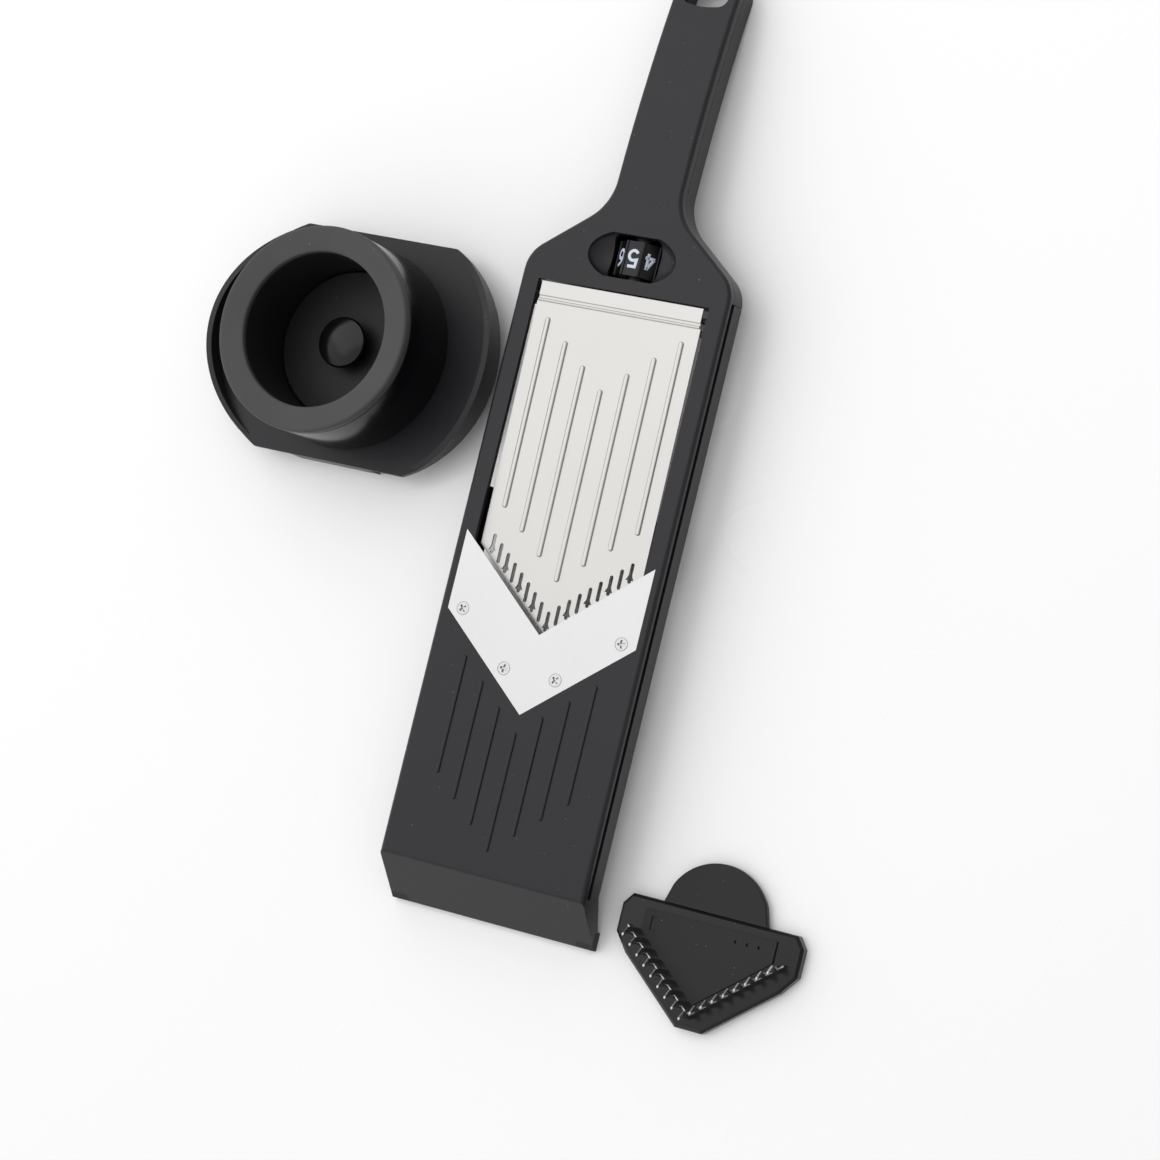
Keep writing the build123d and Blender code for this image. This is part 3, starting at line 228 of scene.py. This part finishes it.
class Paint:
    """A material, or the world's light, being made."""

    def __init__(self, holder):
        self.holder = holder
        holder.use_nodes = True
        self.tree = holder.node_tree
        self.tree.nodes.clear()

    def node(self, kind, settings=None, sockets=None, out=0):
        """Adds a node: its settings first, a ramp's stops among them, then values and links."""
        made = self.tree.nodes.new(kind)
        for key, value in (settings or {}).items():
            if key == "stops":
                ramp = made.color_ramp
                for spot, colour in value[2:]:
                    ramp.elements.new(spot).color = colour
                for element, (spot, colour) in zip(ramp.elements, sorted(value)):
                    element.position, element.color = spot, colour
            else:
                setattr(made, key, value)
        for key, value in (sockets or {}).items():
            if isinstance(value, Signal):
                self.tree.links.new(value.socket, made.inputs[key])
            else:
                made.inputs[key].default_value = value
        return Signal(self, made.outputs[out]) if made.outputs else None

    def place(self, scale=(1.0, 1.0, 1.0), turn=0.0, centre=(0.0, 0.0, 0.0)):
        """Object coordinates from a centre, turned about Z and stretched, for a pattern."""
        spot = self.node("ShaderNodeTexCoord", out="Object")
        moved = self.node("ShaderNodeVectorMath", {"operation": "SUBTRACT"}, {0: spot, 1: centre})
        return self.node("ShaderNodeMapping", None,
                         {"Vector": moved, "Rotation": (0.0, 0.0, turn), "Scale": scale})

    def noise(self, where, scale, detail=3.0, rough=0.5):
        return self.node("ShaderNodeTexNoise", None, {"Vector": where, "Scale": scale,
                                                      "Detail": detail, "Roughness": rough})

    def between(self, mask, low, high):
        """Colour mix, low where the mask is 0 and high where it is 1."""
        return self.node("ShaderNodeMix", {"data_type": "RGBA"}, {0: mask, 6: (*low, 1.0), 7: (*high, 1.0)},
                         out=2)

    def step(self, value, start, end):
        """0 up to start, 1 from end on, easing smoothly between them."""
        return self.node("ShaderNodeMapRange", {"interpolation_type": "SMOOTHSTEP"},
                         {0: value, 1: start, 2: end, 3: 0.0, 4: 1.0})

    def bump(self, height, distance, strength=1.0):
        return self.node("ShaderNodeBump", None, {"Height": height, "Distance": distance,
                                                  "Strength": strength})

    def finish(self, **sockets):
        """Principled shader and output; a key's underscores stand for spaces."""
        values = {key.replace("_", " "): value for key, value in sockets.items()}
        shader = self.node("ShaderNodeBsdfPrincipled", None, values)
        self.node("ShaderNodeOutputMaterial", None, {"Surface": shader})
        return self.holder


def paint(name):
    return Paint(bpy.data.materials.new(name))


def shade(colour, factor):
    return tuple(min(1.0, part * factor) for part in colour)


def moulded(name, colour, roughness, grain, depth):
    """Injection-moulded plastic: even eroded grain, faint cloudiness, a few pale specks of dust."""
    made = paint(name)
    where = made.place()
    cloud = made.noise(where, 34.0, 3.0)
    sand = made.noise(where, 1.0 / grain, 2.0, 0.6)
    speck = made.step(made.noise(where, 760.0, 1.0), 0.79, 0.83)
    body = made.between(made.step(cloud, 0.3, 0.7), shade(colour, 0.93), shade(colour, 1.07))
    dusty = made.node("ShaderNodeMix", {"data_type": "RGBA"},
                       {0: speck * 0.35, 6: body, 7: (0.42, 0.42, 0.42, 1.0)}, out=2)
    return made.finish(Base_Color=dusty, Roughness=cloud * 0.08 + (roughness - 0.04) + sand * 0.03,
                        Normal=made.bump(sand, depth), Specular_IOR_Level=0.32)


def brushed(name, colour, roughness, lines, turn=0.0, depth=0.4e-5, contrast=0.05):
    """Ground steel: hair lines along one direction over a slow variation in polish."""
    made = paint(name)
    hair = made.noise(made.place((lines, lines / 60.0, lines), turn), 1.0, 4.0, 0.65)
    cloud = made.noise(made.place(), 22.0, 2.0)
    tone = made.between(hair, shade(colour, 1.0 - contrast), shade(colour, 1.0 + contrast))
    return made.finish(Base_Color=tone, Metallic=1.0, Normal=made.bump(hair, depth),
                        Roughness=hair * 0.12 + cloud * 0.06 + (roughness - 0.09))


def rubber(name, colour):
    """Soft rubber: open matt texture that scatters light."""
    made = paint(name)
    pores = made.noise(made.place(), 900.0, 3.0, 0.6)
    tone = made.between(pores, shade(colour, 0.85), shade(colour, 1.15))
    return made.finish(Base_Color=tone, Roughness=pores * 0.15 + 0.66, Normal=made.bump(pores, 5e-5))


def ink(name, colour):
    """Pad-printed ink: nearly even, a little thinner here and there."""
    made = paint(name)
    thin = made.noise(made.place(), 1500.0, 2.0)
    return made.finish(Base_Color=made.between(thin, shade(colour, 0.9), colour),
                        Roughness=thin * 0.1 + 0.42)


def floor_paint(name, colour):
    """Pale acrylic board: even colour, faintly uneven gloss."""
    made = paint(name)
    cloud = made.noise(made.place(), 5.0, 2.0)
    tone = made.between(cloud, shade(colour, 0.99), colour)
    return made.finish(Base_Color=tone, Roughness=cloud * 0.06 + 0.24)


# ---------------------------------------------------------------- sizes and colours

def length(text, note, default, **limits):
    return bpy.props.FloatProperty(name=text, description=note, default=default, min=0.0,
                                   subtype="DISTANCE", unit="LENGTH", precision=5, **limits)


def colour(text, note, default):
    return bpy.props.FloatVectorProperty(name=text, description=note, default=default, min=0.0,
                                         max=1.0, size=3, subtype="COLOR")


class StageSettings(bpy.types.PropertyGroup):
    camera_place: bpy.props.FloatVectorProperty(
        name="Camera", description="Where the camera stands", default=(0.64324, 0.0920, 1.42769),
        subtype="TRANSLATION", unit="LENGTH")
    camera_turn: bpy.props.FloatVectorProperty(
        name="Camera turn", description="The camera's rotation about X, Y and Z",
        default=tuple(math.radians(a) for a in (8.946, 22.798, 14.937)), subtype="EULER",
        unit="ROTATION")
    lens: bpy.props.FloatProperty(name="Lens", description="Focal length on a 36 mm sensor",
                                  default=99.3, unit="CAMERA")
    floor_size: length("Floor", "Radius of the floor", 4.0)
    floor_colour: colour("Floor colour", "Colour of the floor", (0.9, 0.9, 0.9))
    sky: bpy.props.FloatProperty(name="Room light", description="Strength of the even light all round",
                                 default=0.93, min=0.0)
    sky_lean: bpy.props.FloatProperty(name="Lean", description="How much brighter the left side is",
                                      default=0.50, min=0.0, max=1.0)
    key_power: bpy.props.FloatProperty(name="Soft box", description="Power of the large soft light",
                                       default=6.5, min=0.0, unit="POWER")
    key_size: length("Soft box size", "Side of the large soft light", 1.7)


class FinishSettings(bpy.types.PropertyGroup):
    shell: colour("Shell", "Charcoal plastic of the body", (0.0105, 0.0105, 0.0130))
    ring: colour("Holder ring", "Matt grey plastic of the holder's top ring", (0.050, 0.050, 0.052))
    inner: colour("Inner parts", "Black plastic inside", (0.0085, 0.0085, 0.0095))
    gloss: colour("Gloss parts", "Polished black plastic", (0.0030, 0.0030, 0.0040))
    foot: colour("Feet", "Soft rubber of the feet", (0.010, 0.010, 0.0105))
    dial: colour("Dial", "Plastic of the dial", (0.0045, 0.0045, 0.006))
    numeral: colour("Numerals", "Ink of the numerals", (0.62, 0.68, 0.78))
    blade: colour("Blade", "Ground blade steel", (0.48, 0.48, 0.483))
    ramp: colour("Ramp", "Pressed ramp sheet", (0.49, 0.482, 0.467))
    screw: colour("Screws", "Screw steel", (0.46, 0.46, 0.46))
    spring: colour("Springs", "Spring steel and shaft", (0.32, 0.32, 0.33))
    brass: colour("Brass", "Brass inserts and bushes", (0.52, 0.37, 0.16))
    grain: length("Grain", "Size of the moulded grain", 0.00035)


class PieceSettings(bpy.types.PropertyGroup):
    numeral_height: length("Numeral height", "Height of a numeral", 0.0094)
    numeral_width: length("Numeral width", "Width of a numeral", 0.0061)
    numeral_stroke: length("Numeral stroke", "Width of a numeral's stroke", 0.0015)
    numeral_proud: length("Numeral thickness", "How far a numeral stands off its facet", 0.00012)
    dial_flat: length("Dial flat", "Shaft axis to a facet of the dial", 0.0108)
    dial_middle: length("Dial middle", "Middle of the dial along the slicer", 0.3292)
    rest_setting: bpy.props.IntProperty(name="Setting", description="Numeral at the top", default=5)
    tube_wall: length("Tube wall", "Wall of the holder's outer tube", 0.0026)
    sleeve_wall: length("Sleeve wall", "Wall of the holder's inner tube", 0.0024)
    ledge: length("Ledge", "How far the sleeve's ledge reaches in", 0.0020)
    ring_fall: length("Ring fall", "How far the ring's top falls to its opening", 0.0020)
    ring_round: length("Ring rounding", "Cut-back of the ring's outer edge", 0.0022)
    knob_stem: length("Knob stem", "Radius of the knob's stem", 0.0040)
    knife_pitch: length("Knife pitch", "Distance from knife to knife", 0.00467)
    knife_depth: length("Knife depth", "Knife from front to back at its foot", 0.0044)
    knife_thick: length("Knife thickness", "Thickness of a knife", 0.0010)
    comb_height: length("Comb strip", "Height of the strip that carries the knives", 0.0030)
    screw_shank: length("Screw shank", "Radius of a blade screw's shank", 0.00175)
    screw_rim: length("Screw rim", "How far a screw head's edge falls away", 0.00025)
    cross_fall: length("Cross depth", "Depth of a screw's cross recess", 0.0011)


# ---------------------------------------------------------------- pieces

def stroke(*spots):
    """Straight strokes through the spots, in shares of a numeral's half width and half height."""
    return np.array(spots, float)


def bow(centre, radii, start, end, count=22):
    """Arc of an ellipse from start to end in degrees, counted anticlockwise from the right."""
    turn = np.radians(np.linspace(start, end, count))[:, None]
    return np.array([centre]) + np.hstack([radii[0] * np.cos(turn), radii[1] * np.sin(turn)])


def numeral_paths():
    """Centre lines of the numerals 0 to 7, as (path, closed), reading upright."""
    oval = np.radians(np.linspace(0, 360, 48, endpoint=False))
    zero = np.stack([np.cos(oval), np.sin(oval)], 1)
    zero = np.sign(zero) * abs(zero) ** 0.8
    two = np.vstack([bow((0, 0.5), (1, 0.5), 165, -35), stroke((-1, -1), (1, -1))])
    five = np.vstack([stroke((0.9, 1), (-0.8, 1), (-0.9, 0.12)), bow((-0.05, -0.38), (1, 0.62), 115, -150)])
    six = np.vstack([stroke((0.75, 1)), bow((1.0, -0.35), (2.0, 1.25), 110, 180, 16)])
    return [
        [(zero, True)],
        [(stroke((-0.55, 0.62), (0.2, 1.0), (0.2, -1.0)), False)],
        [(two, False)],
        [(bow((0, 0.5), (0.95, 0.5), 160, -90), False), (bow((0, -0.5), (1, 0.5), 90, -160), False)],
        [(stroke((0.45, -1.0), (0.45, 1.05)), False), (stroke((0.4, 1.0), (-0.95, -0.42)), False),
         (stroke((-1.1, -0.42), (1.1, -0.42)), False)],
        [(five, False)],
        [(six, False), (bow((0, -0.45), (1, 0.55), 0, 352, 40), True)],
        [(stroke((-1, 1), (0.95, 1), (-0.35, -1)), False)],
    ]


def make_numerals(sizes, finish):
    """Numerals 0 to 7, one on each facet, their tops towards the blade.

    A numeral's flat bands are set on the top facet and then turned about the shaft by an eighth
    of a turn for each setting away from the one at rest.
    """
    low, high = extent("dial_wheel")
    axis_z = (low[2] + high[2]) / 2
    middle_y = sizes.dial_middle
    half = np.array([sizes.numeral_width, sizes.numeral_height]) / 2 - sizes.numeral_stroke / 2
    meshes = []
    for setting, paths in enumerate(numeral_paths()):
        turn = (sizes.rest_setting - setting) * math.pi / 4
        for path, closed in paths:
            rings = ribbon(path * half, sizes.numeral_stroke / 2, sizes.numeral_proud + 2e-5, closed)
            across, up = -rings[..., 0], sizes.dial_flat - 2e-5 + rings[..., 2]
            points = np.stack([across * math.cos(turn) + up * math.sin(turn), middle_y - rings[..., 1],
                               axis_z + up * math.cos(turn) - across * math.sin(turn)], -1)
            meshes.append(welded(sheet_mesh("stroke", points, ring=closed, loop=True), 30.0))
    place(joined_meshes("dial_numerals", meshes), "dial", finish)


def make_holder(sizes, finishes):
    """Ring, outer tube and sleeve of the food holder, each turned from one rounded outline."""
    low, high = extent("holder_ring")
    centre, radius = (low + high)[:2] / 2, (high - low)[0] / 2
    tube_low, tube_high = extent("holder_tube")
    sleeve_low, sleeve_high = extent("holder_sleeve")
    outer = (sleeve_high - sleeve_low)[0] / 2
    inner = outer - sizes.sleeve_wall
    ring = rounded([(inner, low[2]), (radius, low[2]), (radius, high[2]),
                    (inner, high[2] - sizes.ring_fall)],
                   [0.0003, 0.0003, sizes.ring_round, 0.0012], 9)
    place(turned("holder_ring_top", ring, centre, segments=192), "holder",
          finishes["ring_grey"], ["holder_ring"])
    z0, z1 = tube_low[2], tube_high[2]
    wall = radius - sizes.tube_wall
    tube = rounded([(wall, z0), (radius, z0), (radius - 0.0002, z1 - 0.0009),
                    (radius - 0.0008, z1 - 0.0007), (radius - 0.0008, z1), (wall, z1)],
                   [0.0002, 0.0007, 0.0004, 0.0002, 0.0001, 0.0002], 6)
    place(turned("holder_tube_wall", tube, centre, segments=192), "holder",
          finishes["black_gloss"], ["holder_tube"])
    lip = inner - sizes.ledge
    sleeve = rounded([(lip, z0), (outer, z0), (outer, z1), (inner, z1), (inner, z0 + 0.0015),
                      (lip, z0 + 0.0015)], [0.0003, 0.0003, 0.0002, 0.0002, 0.0008, 0.0005], 5)
    place(turned("holder_sleeve_wall", sleeve, centre, segments=160), "holder",
          finishes["black_inner"], ["holder_sleeve"])


def make_knob(sizes, finish):
    """Mushroom knob: a stem, a waist and a domed cap, turned from one soft outline."""
    low, high = extent("pusher_knob")
    centre, radius = (low + high)[:2] / 2, (high - low)[0] / 2
    stem, base, top = sizes.knob_stem, low[2], high[2]
    seat = base + 0.0030
    outline = rounded([(0.0, base), (stem, base), (stem, seat), (stem + 0.0035, seat),
                       (stem + 0.0016, seat + 0.0042), (radius, seat + 0.0078),
                       (radius, seat + 0.0101), (radius * 0.5, top - 0.0006), (0.0, top)],
                      [0.0, 0.0003, 0.0, 0.0004, 0.0022, 0.0011, 0.0011, 0.0030, 0.0], 8, closed=False)
    place(turned("pusher_knob_cap", outline, centre, closed=False, segments=96), "pusher",
          finish, ["pusher_knob"])


def make_screws(sizes, finish):
    """Four countersunk screws with cross recesses.

    A head is a square grid (u, v) drawn out to a disc: x = u sqrt(1 - v^2/2), y = v sqrt(1 - u^2/2).
    Its recess depends on u and v alone, so the flanks of the cross lie along lines of the grid: full
    depth where the smaller of |u|, |v| is inside an arm and the larger is short of the arm's end.
    The shank is turned from the head's own edge.
    """
    node = frame["nodes"]["blade_screws"]
    spots = np.empty(len(node.data.vertices) * 3)
    node.data.vertices.foreach_get("co", spots)
    spots = spots.reshape(-1, 3)
    low, high = extent("blade_screws")
    head = spots[spots[:, 2] > high[2] - 1e-5]
    groups = [head[(head[:, 0] * side > 0) & ((abs(head[:, 0]) > SCREW_SPLIT_X) == outer)]
              for side in (-1, 1) for outer in (False, True)]
    centre = np.array([(group.min(0) + group.max(0))[:2] / 2 for group in groups])[:, None, None]
    radius = np.ptp(groups[0][:, 0]) / 2
    half = np.array([0.0, 0.05, 0.10, 0.115, 0.165, 0.18, 0.23, 0.3, 0.38, 0.46, 0.5, 0.52, 0.60, 0.62,
                     0.68, 0.75, 0.82, 0.88, 0.92, 0.95, 0.97, 0.985, 1.0])
    line = np.concatenate([-half[:0:-1], half])
    u, v = np.meshgrid(line, line)
    x, y = u * np.sqrt(1 - v ** 2 / 2) * radius, v * np.sqrt(1 - u ** 2 / 2) * radius
    narrow, far = np.minimum(abs(u), abs(v)), np.maximum(abs(u), abs(v))
    flank = np.clip((ARM_HALF - narrow) / ARM_FLANK, 0, 1)
    end = np.clip((ARM_END - far) / ARM_END_FALL, 0, 1)
    rim = np.clip((np.hypot(x, y) / radius - RIM_START) / (1 - RIM_START), 0, 1) ** 2
    z = high[2] - sizes.screw_rim * rim - sizes.cross_fall * flank * end
    spin = np.array(SCREW_SPINS)[:, None, None]
    turned_x, turned_y = x * np.cos(spin) - y * np.sin(spin), x * np.sin(spin) + y * np.cos(spin)
    caps = np.stack([turned_x + centre[..., 0], turned_y + centre[..., 1], z + 0 * turned_x], -1)
    edge = np.concatenate([caps[:, 0, :-1], caps[:, :-1, -1], caps[:, -1, :0:-1], caps[:, :0:-1, 0]], 1)
    cone = (radius - sizes.screw_shank) / radius
    share = np.array([1.0, 1.0 - cone, 1.0 - cone, 0.0])
    level = np.array([high[2] - sizes.screw_rim, high[2] - cone * radius, low[2] + 0.0008, low[2]])
    flat = np.concatenate([centre, 0 * centre[..., :1]], -1)
    under = flat + (edge[:, :, None] - flat) * share[:, None] * [1, 1, 0] + level[:, None] * [0, 0, 1]
    meshes = [sheet_mesh("heads", caps), sheet_mesh("shanks", under, ring=True)]
    whole = welded(joined_meshes("blade_screw_set", meshes), 24.0)
    place(whole, "slicer", finish, ["blade_screws"])


def make_comb(sizes, finish):
    """Seventeen knives on a V strip.

    A knife's section at each height is a long hexagon: a keen front edge, a ground flank, flat
    sides and a blunt back. Its front bows forwards as it rises and its back leans away at the top.
    """
    low, high = extent("julienne_comb")
    centre_x = (low[0] + high[0]) / 2
    foot, top = low[2], high[2]
    reach = (high[0] - low[0]) / 2
    rise = math.tan(math.radians(40.0))
    knives = (np.arange(17) - 8) * sizes.knife_pitch
    front_y = low[1] + sizes.knife_depth / 2 + 0.0003
    middle = front_y + rise * abs(knives)
    s = np.linspace(0.0, 1.0, 26)
    depth = sizes.knife_depth
    fore = -depth / 2 + 0.0010 * np.sin(np.pi * s) - 0.0003 * s
    back = depth / 2 - 0.0004 * s - 0.0029 * np.clip((s - 0.72) / 0.28, 0, 1)
    height = foot + (top - foot) * s
    thick = sizes.knife_thick / 2
    ground = np.minimum(0.0011, 0.45 * (back - fore))
    along = np.stack([fore, fore + ground, back - 0.0003, back, back, back - 0.0003, fore + ground], 1)
    across = np.array([0.0, thick, thick, 0.7 * thick, -0.7 * thick, -thick, -thick])[None] + 0 * along
    rings = np.stack([across, along, height[:, None] + 0 * along], -1)
    ends = rings[[0, -1]].mean(1, keepdims=True) + 0 * rings[:2]
    rings = np.concatenate([ends[:1], rings, ends[1:]])
    offset = np.stack([centre_x + knives, middle, 0 * knives], -1)
    meshes = [welded(sheet_mesh("knives", offset[:, None, None] + rings[None], loop=True), 22.0)]
    strip_x = np.array([-reach, -reach, 0.0, reach, reach])[:, None]
    section = np.array([(-0.5, 0.0), (0.5, 0.0), (0.5, 0.93), (0.4, 1.0), (-0.4, 1.0), (-0.5, 0.93)])
    shape = section * [sizes.knife_thick, sizes.comb_height]
    shrink = np.array([0.0, 1.0, 1.0, 1.0, 0.0])[:, None]
    strip = np.stack([centre_x + strip_x + 0 * shape[None, :, 0],
                      front_y + rise * abs(strip_x) + shrink * shape[None, :, 0],
                      foot + sizes.comb_height / 2 + shrink * (shape[None, :, 1] - sizes.comb_height / 2)],
                     -1)
    meshes.append(welded(sheet_mesh("strip", strip, loop=True), 30.0))
    place(joined_meshes("julienne_knives", meshes), "julienne", finish,
          ["julienne_comb"])


def make_floor(size, finish):
    """Round floor: rings of points whose radius grows evenly from the middle."""
    turn = np.linspace(0, 2 * np.pi, 96, endpoint=False)[:, None]
    out = np.linspace(0.0, size, 9)[None]
    points = np.stack([out * np.cos(turn), MIDDLE_Y + out * np.sin(turn), 0 * (out + turn) - 0.2 * MM], -1)
    mesh = welded(sheet_mesh("floor", points, ring=True))
    mesh.materials.append(finish)
    floor = bpy.data.objects.new("floor", mesh)
    bpy.context.scene.collection.objects.link(floor)


def make_finishes(look):
    """One material for each finish in the record."""
    return {
        "black_shell": moulded("charcoal_plastic", look.shell, 0.36, look.grain, 2.2e-5),
        "ring_grey": moulded("ring_plastic", look.ring, 0.55, look.grain, 1.6e-5),
        "black_inner": moulded("inner_plastic", look.inner, 0.46, look.grain, 1.6e-5),
        "black_gloss": moulded("polished_plastic", look.gloss, 0.17, 0.004, 1.2e-5),
        "soft_black": rubber("foot_rubber", look.foot),
        "dial_black": moulded("dial_plastic", look.dial, 0.24, 0.0008, 0.8e-5),
        "numeral_white": ink("numeral_ink", look.numeral),
        "blade_steel": brushed("blade_steel", look.blade, 0.26, 2600.0, math.radians(90), 0.25e-5, 0.02),
        "ramp_steel": brushed("ramp_steel", look.ramp, 0.36, 2200.0, 0.0, 0.3e-5, 0.03),
        "screw_steel": brushed("screw_steel", look.screw, 0.28, 3000.0, math.radians(45)),
        "spring_steel": brushed("spring_steel", look.spring, 0.34, 1800.0),
        "brass": brushed("brass", look.brass, 0.30, 2000.0, math.radians(90)),
    }


def finish_named(slot):
    """The finish of a slot, once the finishes have been made."""
    return bpy.data.materials[bpy.context.scene["slicer_finishes"][slot]]


# ---------------------------------------------------------------- operators

class SLICER_OT_stage(bpy.types.Operator):
    """Make the floor, the soft light and the camera"""
    bl_idname = "slicer.stage"
    bl_label = "Stage"

    def execute(self, context):
        settings, scene = context.scene.slicer_stage, context.scene
        make_floor(settings.floor_size, floor_paint("pale_board", settings.floor_colour))
        scene.world = bpy.data.worlds.new("soft_room")
        room = Paint(scene.world)
        split = room.node("ShaderNodeSeparateXYZ", None,
                          {0: room.node("ShaderNodeTexCoord", out="Generated")})
        glow = split * (settings.sky * -settings.sky_lean) + settings.sky
        back = room.node("ShaderNodeBackground", None, {"Color": (1.0, 1.0, 1.0, 1.0), "Strength": glow})
        room.node("ShaderNodeOutputWorld", None, {"Surface": back})
        for name, power, size, place_at in (
                ("soft_box", settings.key_power, settings.key_size, (-0.62, 0.86, 1.50)),
                ("side_strip", settings.key_power * 0.12, 0.7, (-1.3, -0.1, 0.75))):
            light = bpy.data.lights.new(name, "AREA")
            light.energy, light.size = power, size
            lamp = bpy.data.objects.new(name, light)
            lamp.location = place_at
            aim = Vector((0.0, MIDDLE_Y, 0.0)) - lamp.location
            lamp.rotation_euler = aim.to_track_quat("-Z", "Y").to_euler()
            scene.collection.objects.link(lamp)
        lens = bpy.data.cameras.new("camera")
        lens.lens, lens.sensor_width = settings.lens, 36.0
        camera = bpy.data.objects.new("camera", lens)
        camera.location, camera.rotation_euler = settings.camera_place, settings.camera_turn
        scene.collection.objects.link(camera)
        scene.camera = camera
        scene.view_settings.view_transform = "Standard"
        return {"FINISHED"}


class SLICER_OT_finishes(bpy.types.Operator):
    """Make every finish and put it on the CAD parts"""
    bl_idname = "slicer.finishes"
    bl_label = "Finishes"

    def execute(self, context):
        made = make_finishes(context.scene.slicer_finish)
        context.scene["slicer_finishes"] = {slot: material.name for slot, material in made.items()}
        for part in frame["record"]["subparts"]:
            node = frame["nodes"][part["node"]]
            for slot in node.material_slots:
                slot.material = made[part["material_slot"]]
        return {"FINISHED"}


class SLICER_OT_numerals(bpy.types.Operator):
    """Print the numerals on the dial"""
    bl_idname = "slicer.numerals"
    bl_label = "Dial numerals"

    def execute(self, context):
        make_numerals(context.scene.slicer_pieces, finish_named("numeral_white"))
        return {"FINISHED"}


class SLICER_OT_holder(bpy.types.Operator):
    """Turn the holder's ring, tube and sleeve"""
    bl_idname = "slicer.holder"
    bl_label = "Food holder"

    def execute(self, context):
        finishes = {slot: finish_named(slot) for slot in ("ring_grey", "black_gloss", "black_inner")}
        make_holder(context.scene.slicer_pieces, finishes)
        return {"FINISHED"}


class SLICER_OT_knob(bpy.types.Operator):
    """Turn the pusher's knob"""
    bl_idname = "slicer.knob"
    bl_label = "Pusher knob"

    def execute(self, context):
        make_knob(context.scene.slicer_pieces, finish_named("black_gloss"))
        return {"FINISHED"}


class SLICER_OT_screws(bpy.types.Operator):
    """Make the blade's countersunk screws"""
    bl_idname = "slicer.screws"
    bl_label = "Blade screws"

    def execute(self, context):
        make_screws(context.scene.slicer_pieces, finish_named("screw_steel"))
        return {"FINISHED"}


class SLICER_OT_comb(bpy.types.Operator):
    """Grind the knives of the julienne insert"""
    bl_idname = "slicer.comb"
    bl_label = "Julienne knives"

    def execute(self, context):
        make_comb(context.scene.slicer_pieces, finish_named("blade_steel"))
        return {"FINISHED"}


class SLICER_PT_panel(bpy.types.Panel):
    """Sizes, colours and steps of the slicer"""
    bl_idname = "SLICER_PT_panel"
    bl_label = "Mandoline slicer"
    bl_space_type = "VIEW_3D"
    bl_region_type = "UI"
    bl_category = "Slicer"

    def draw(self, context):
        for step in OPERATORS:
            self.layout.operator(step.bl_idname)
        for name in SETTINGS:
            settings = getattr(context.scene, name)
            box = self.layout.box()
            for key in settings.bl_rna.properties.keys():
                if key not in {"rna_type", "name"}:
                    box.prop(settings, key)


OPERATORS = (SLICER_OT_stage, SLICER_OT_finishes, SLICER_OT_numerals, SLICER_OT_holder,
             SLICER_OT_knob, SLICER_OT_screws, SLICER_OT_comb)
SETTINGS = {"slicer_stage": StageSettings, "slicer_finish": FinishSettings,
            "slicer_pieces": PieceSettings}


def register():
    for made in (*SETTINGS.values(), *OPERATORS, SLICER_PT_panel):
        bpy.utils.register_class(made)
    for name, group in SETTINGS.items():
        setattr(bpy.types.Scene, name, bpy.props.PointerProperty(type=group))


def unregister():
    for name in SETTINGS:
        delattr(bpy.types.Scene, name)
    for made in (SLICER_PT_panel, *OPERATORS, *SETTINGS.values()):
        bpy.utils.unregister_class(made)


def main():
    register()
    for step in OPERATORS:
        group, name = step.bl_idname.split(".")
        getattr(getattr(bpy.ops, group), name)()


if __name__ == "__main__":
    main()
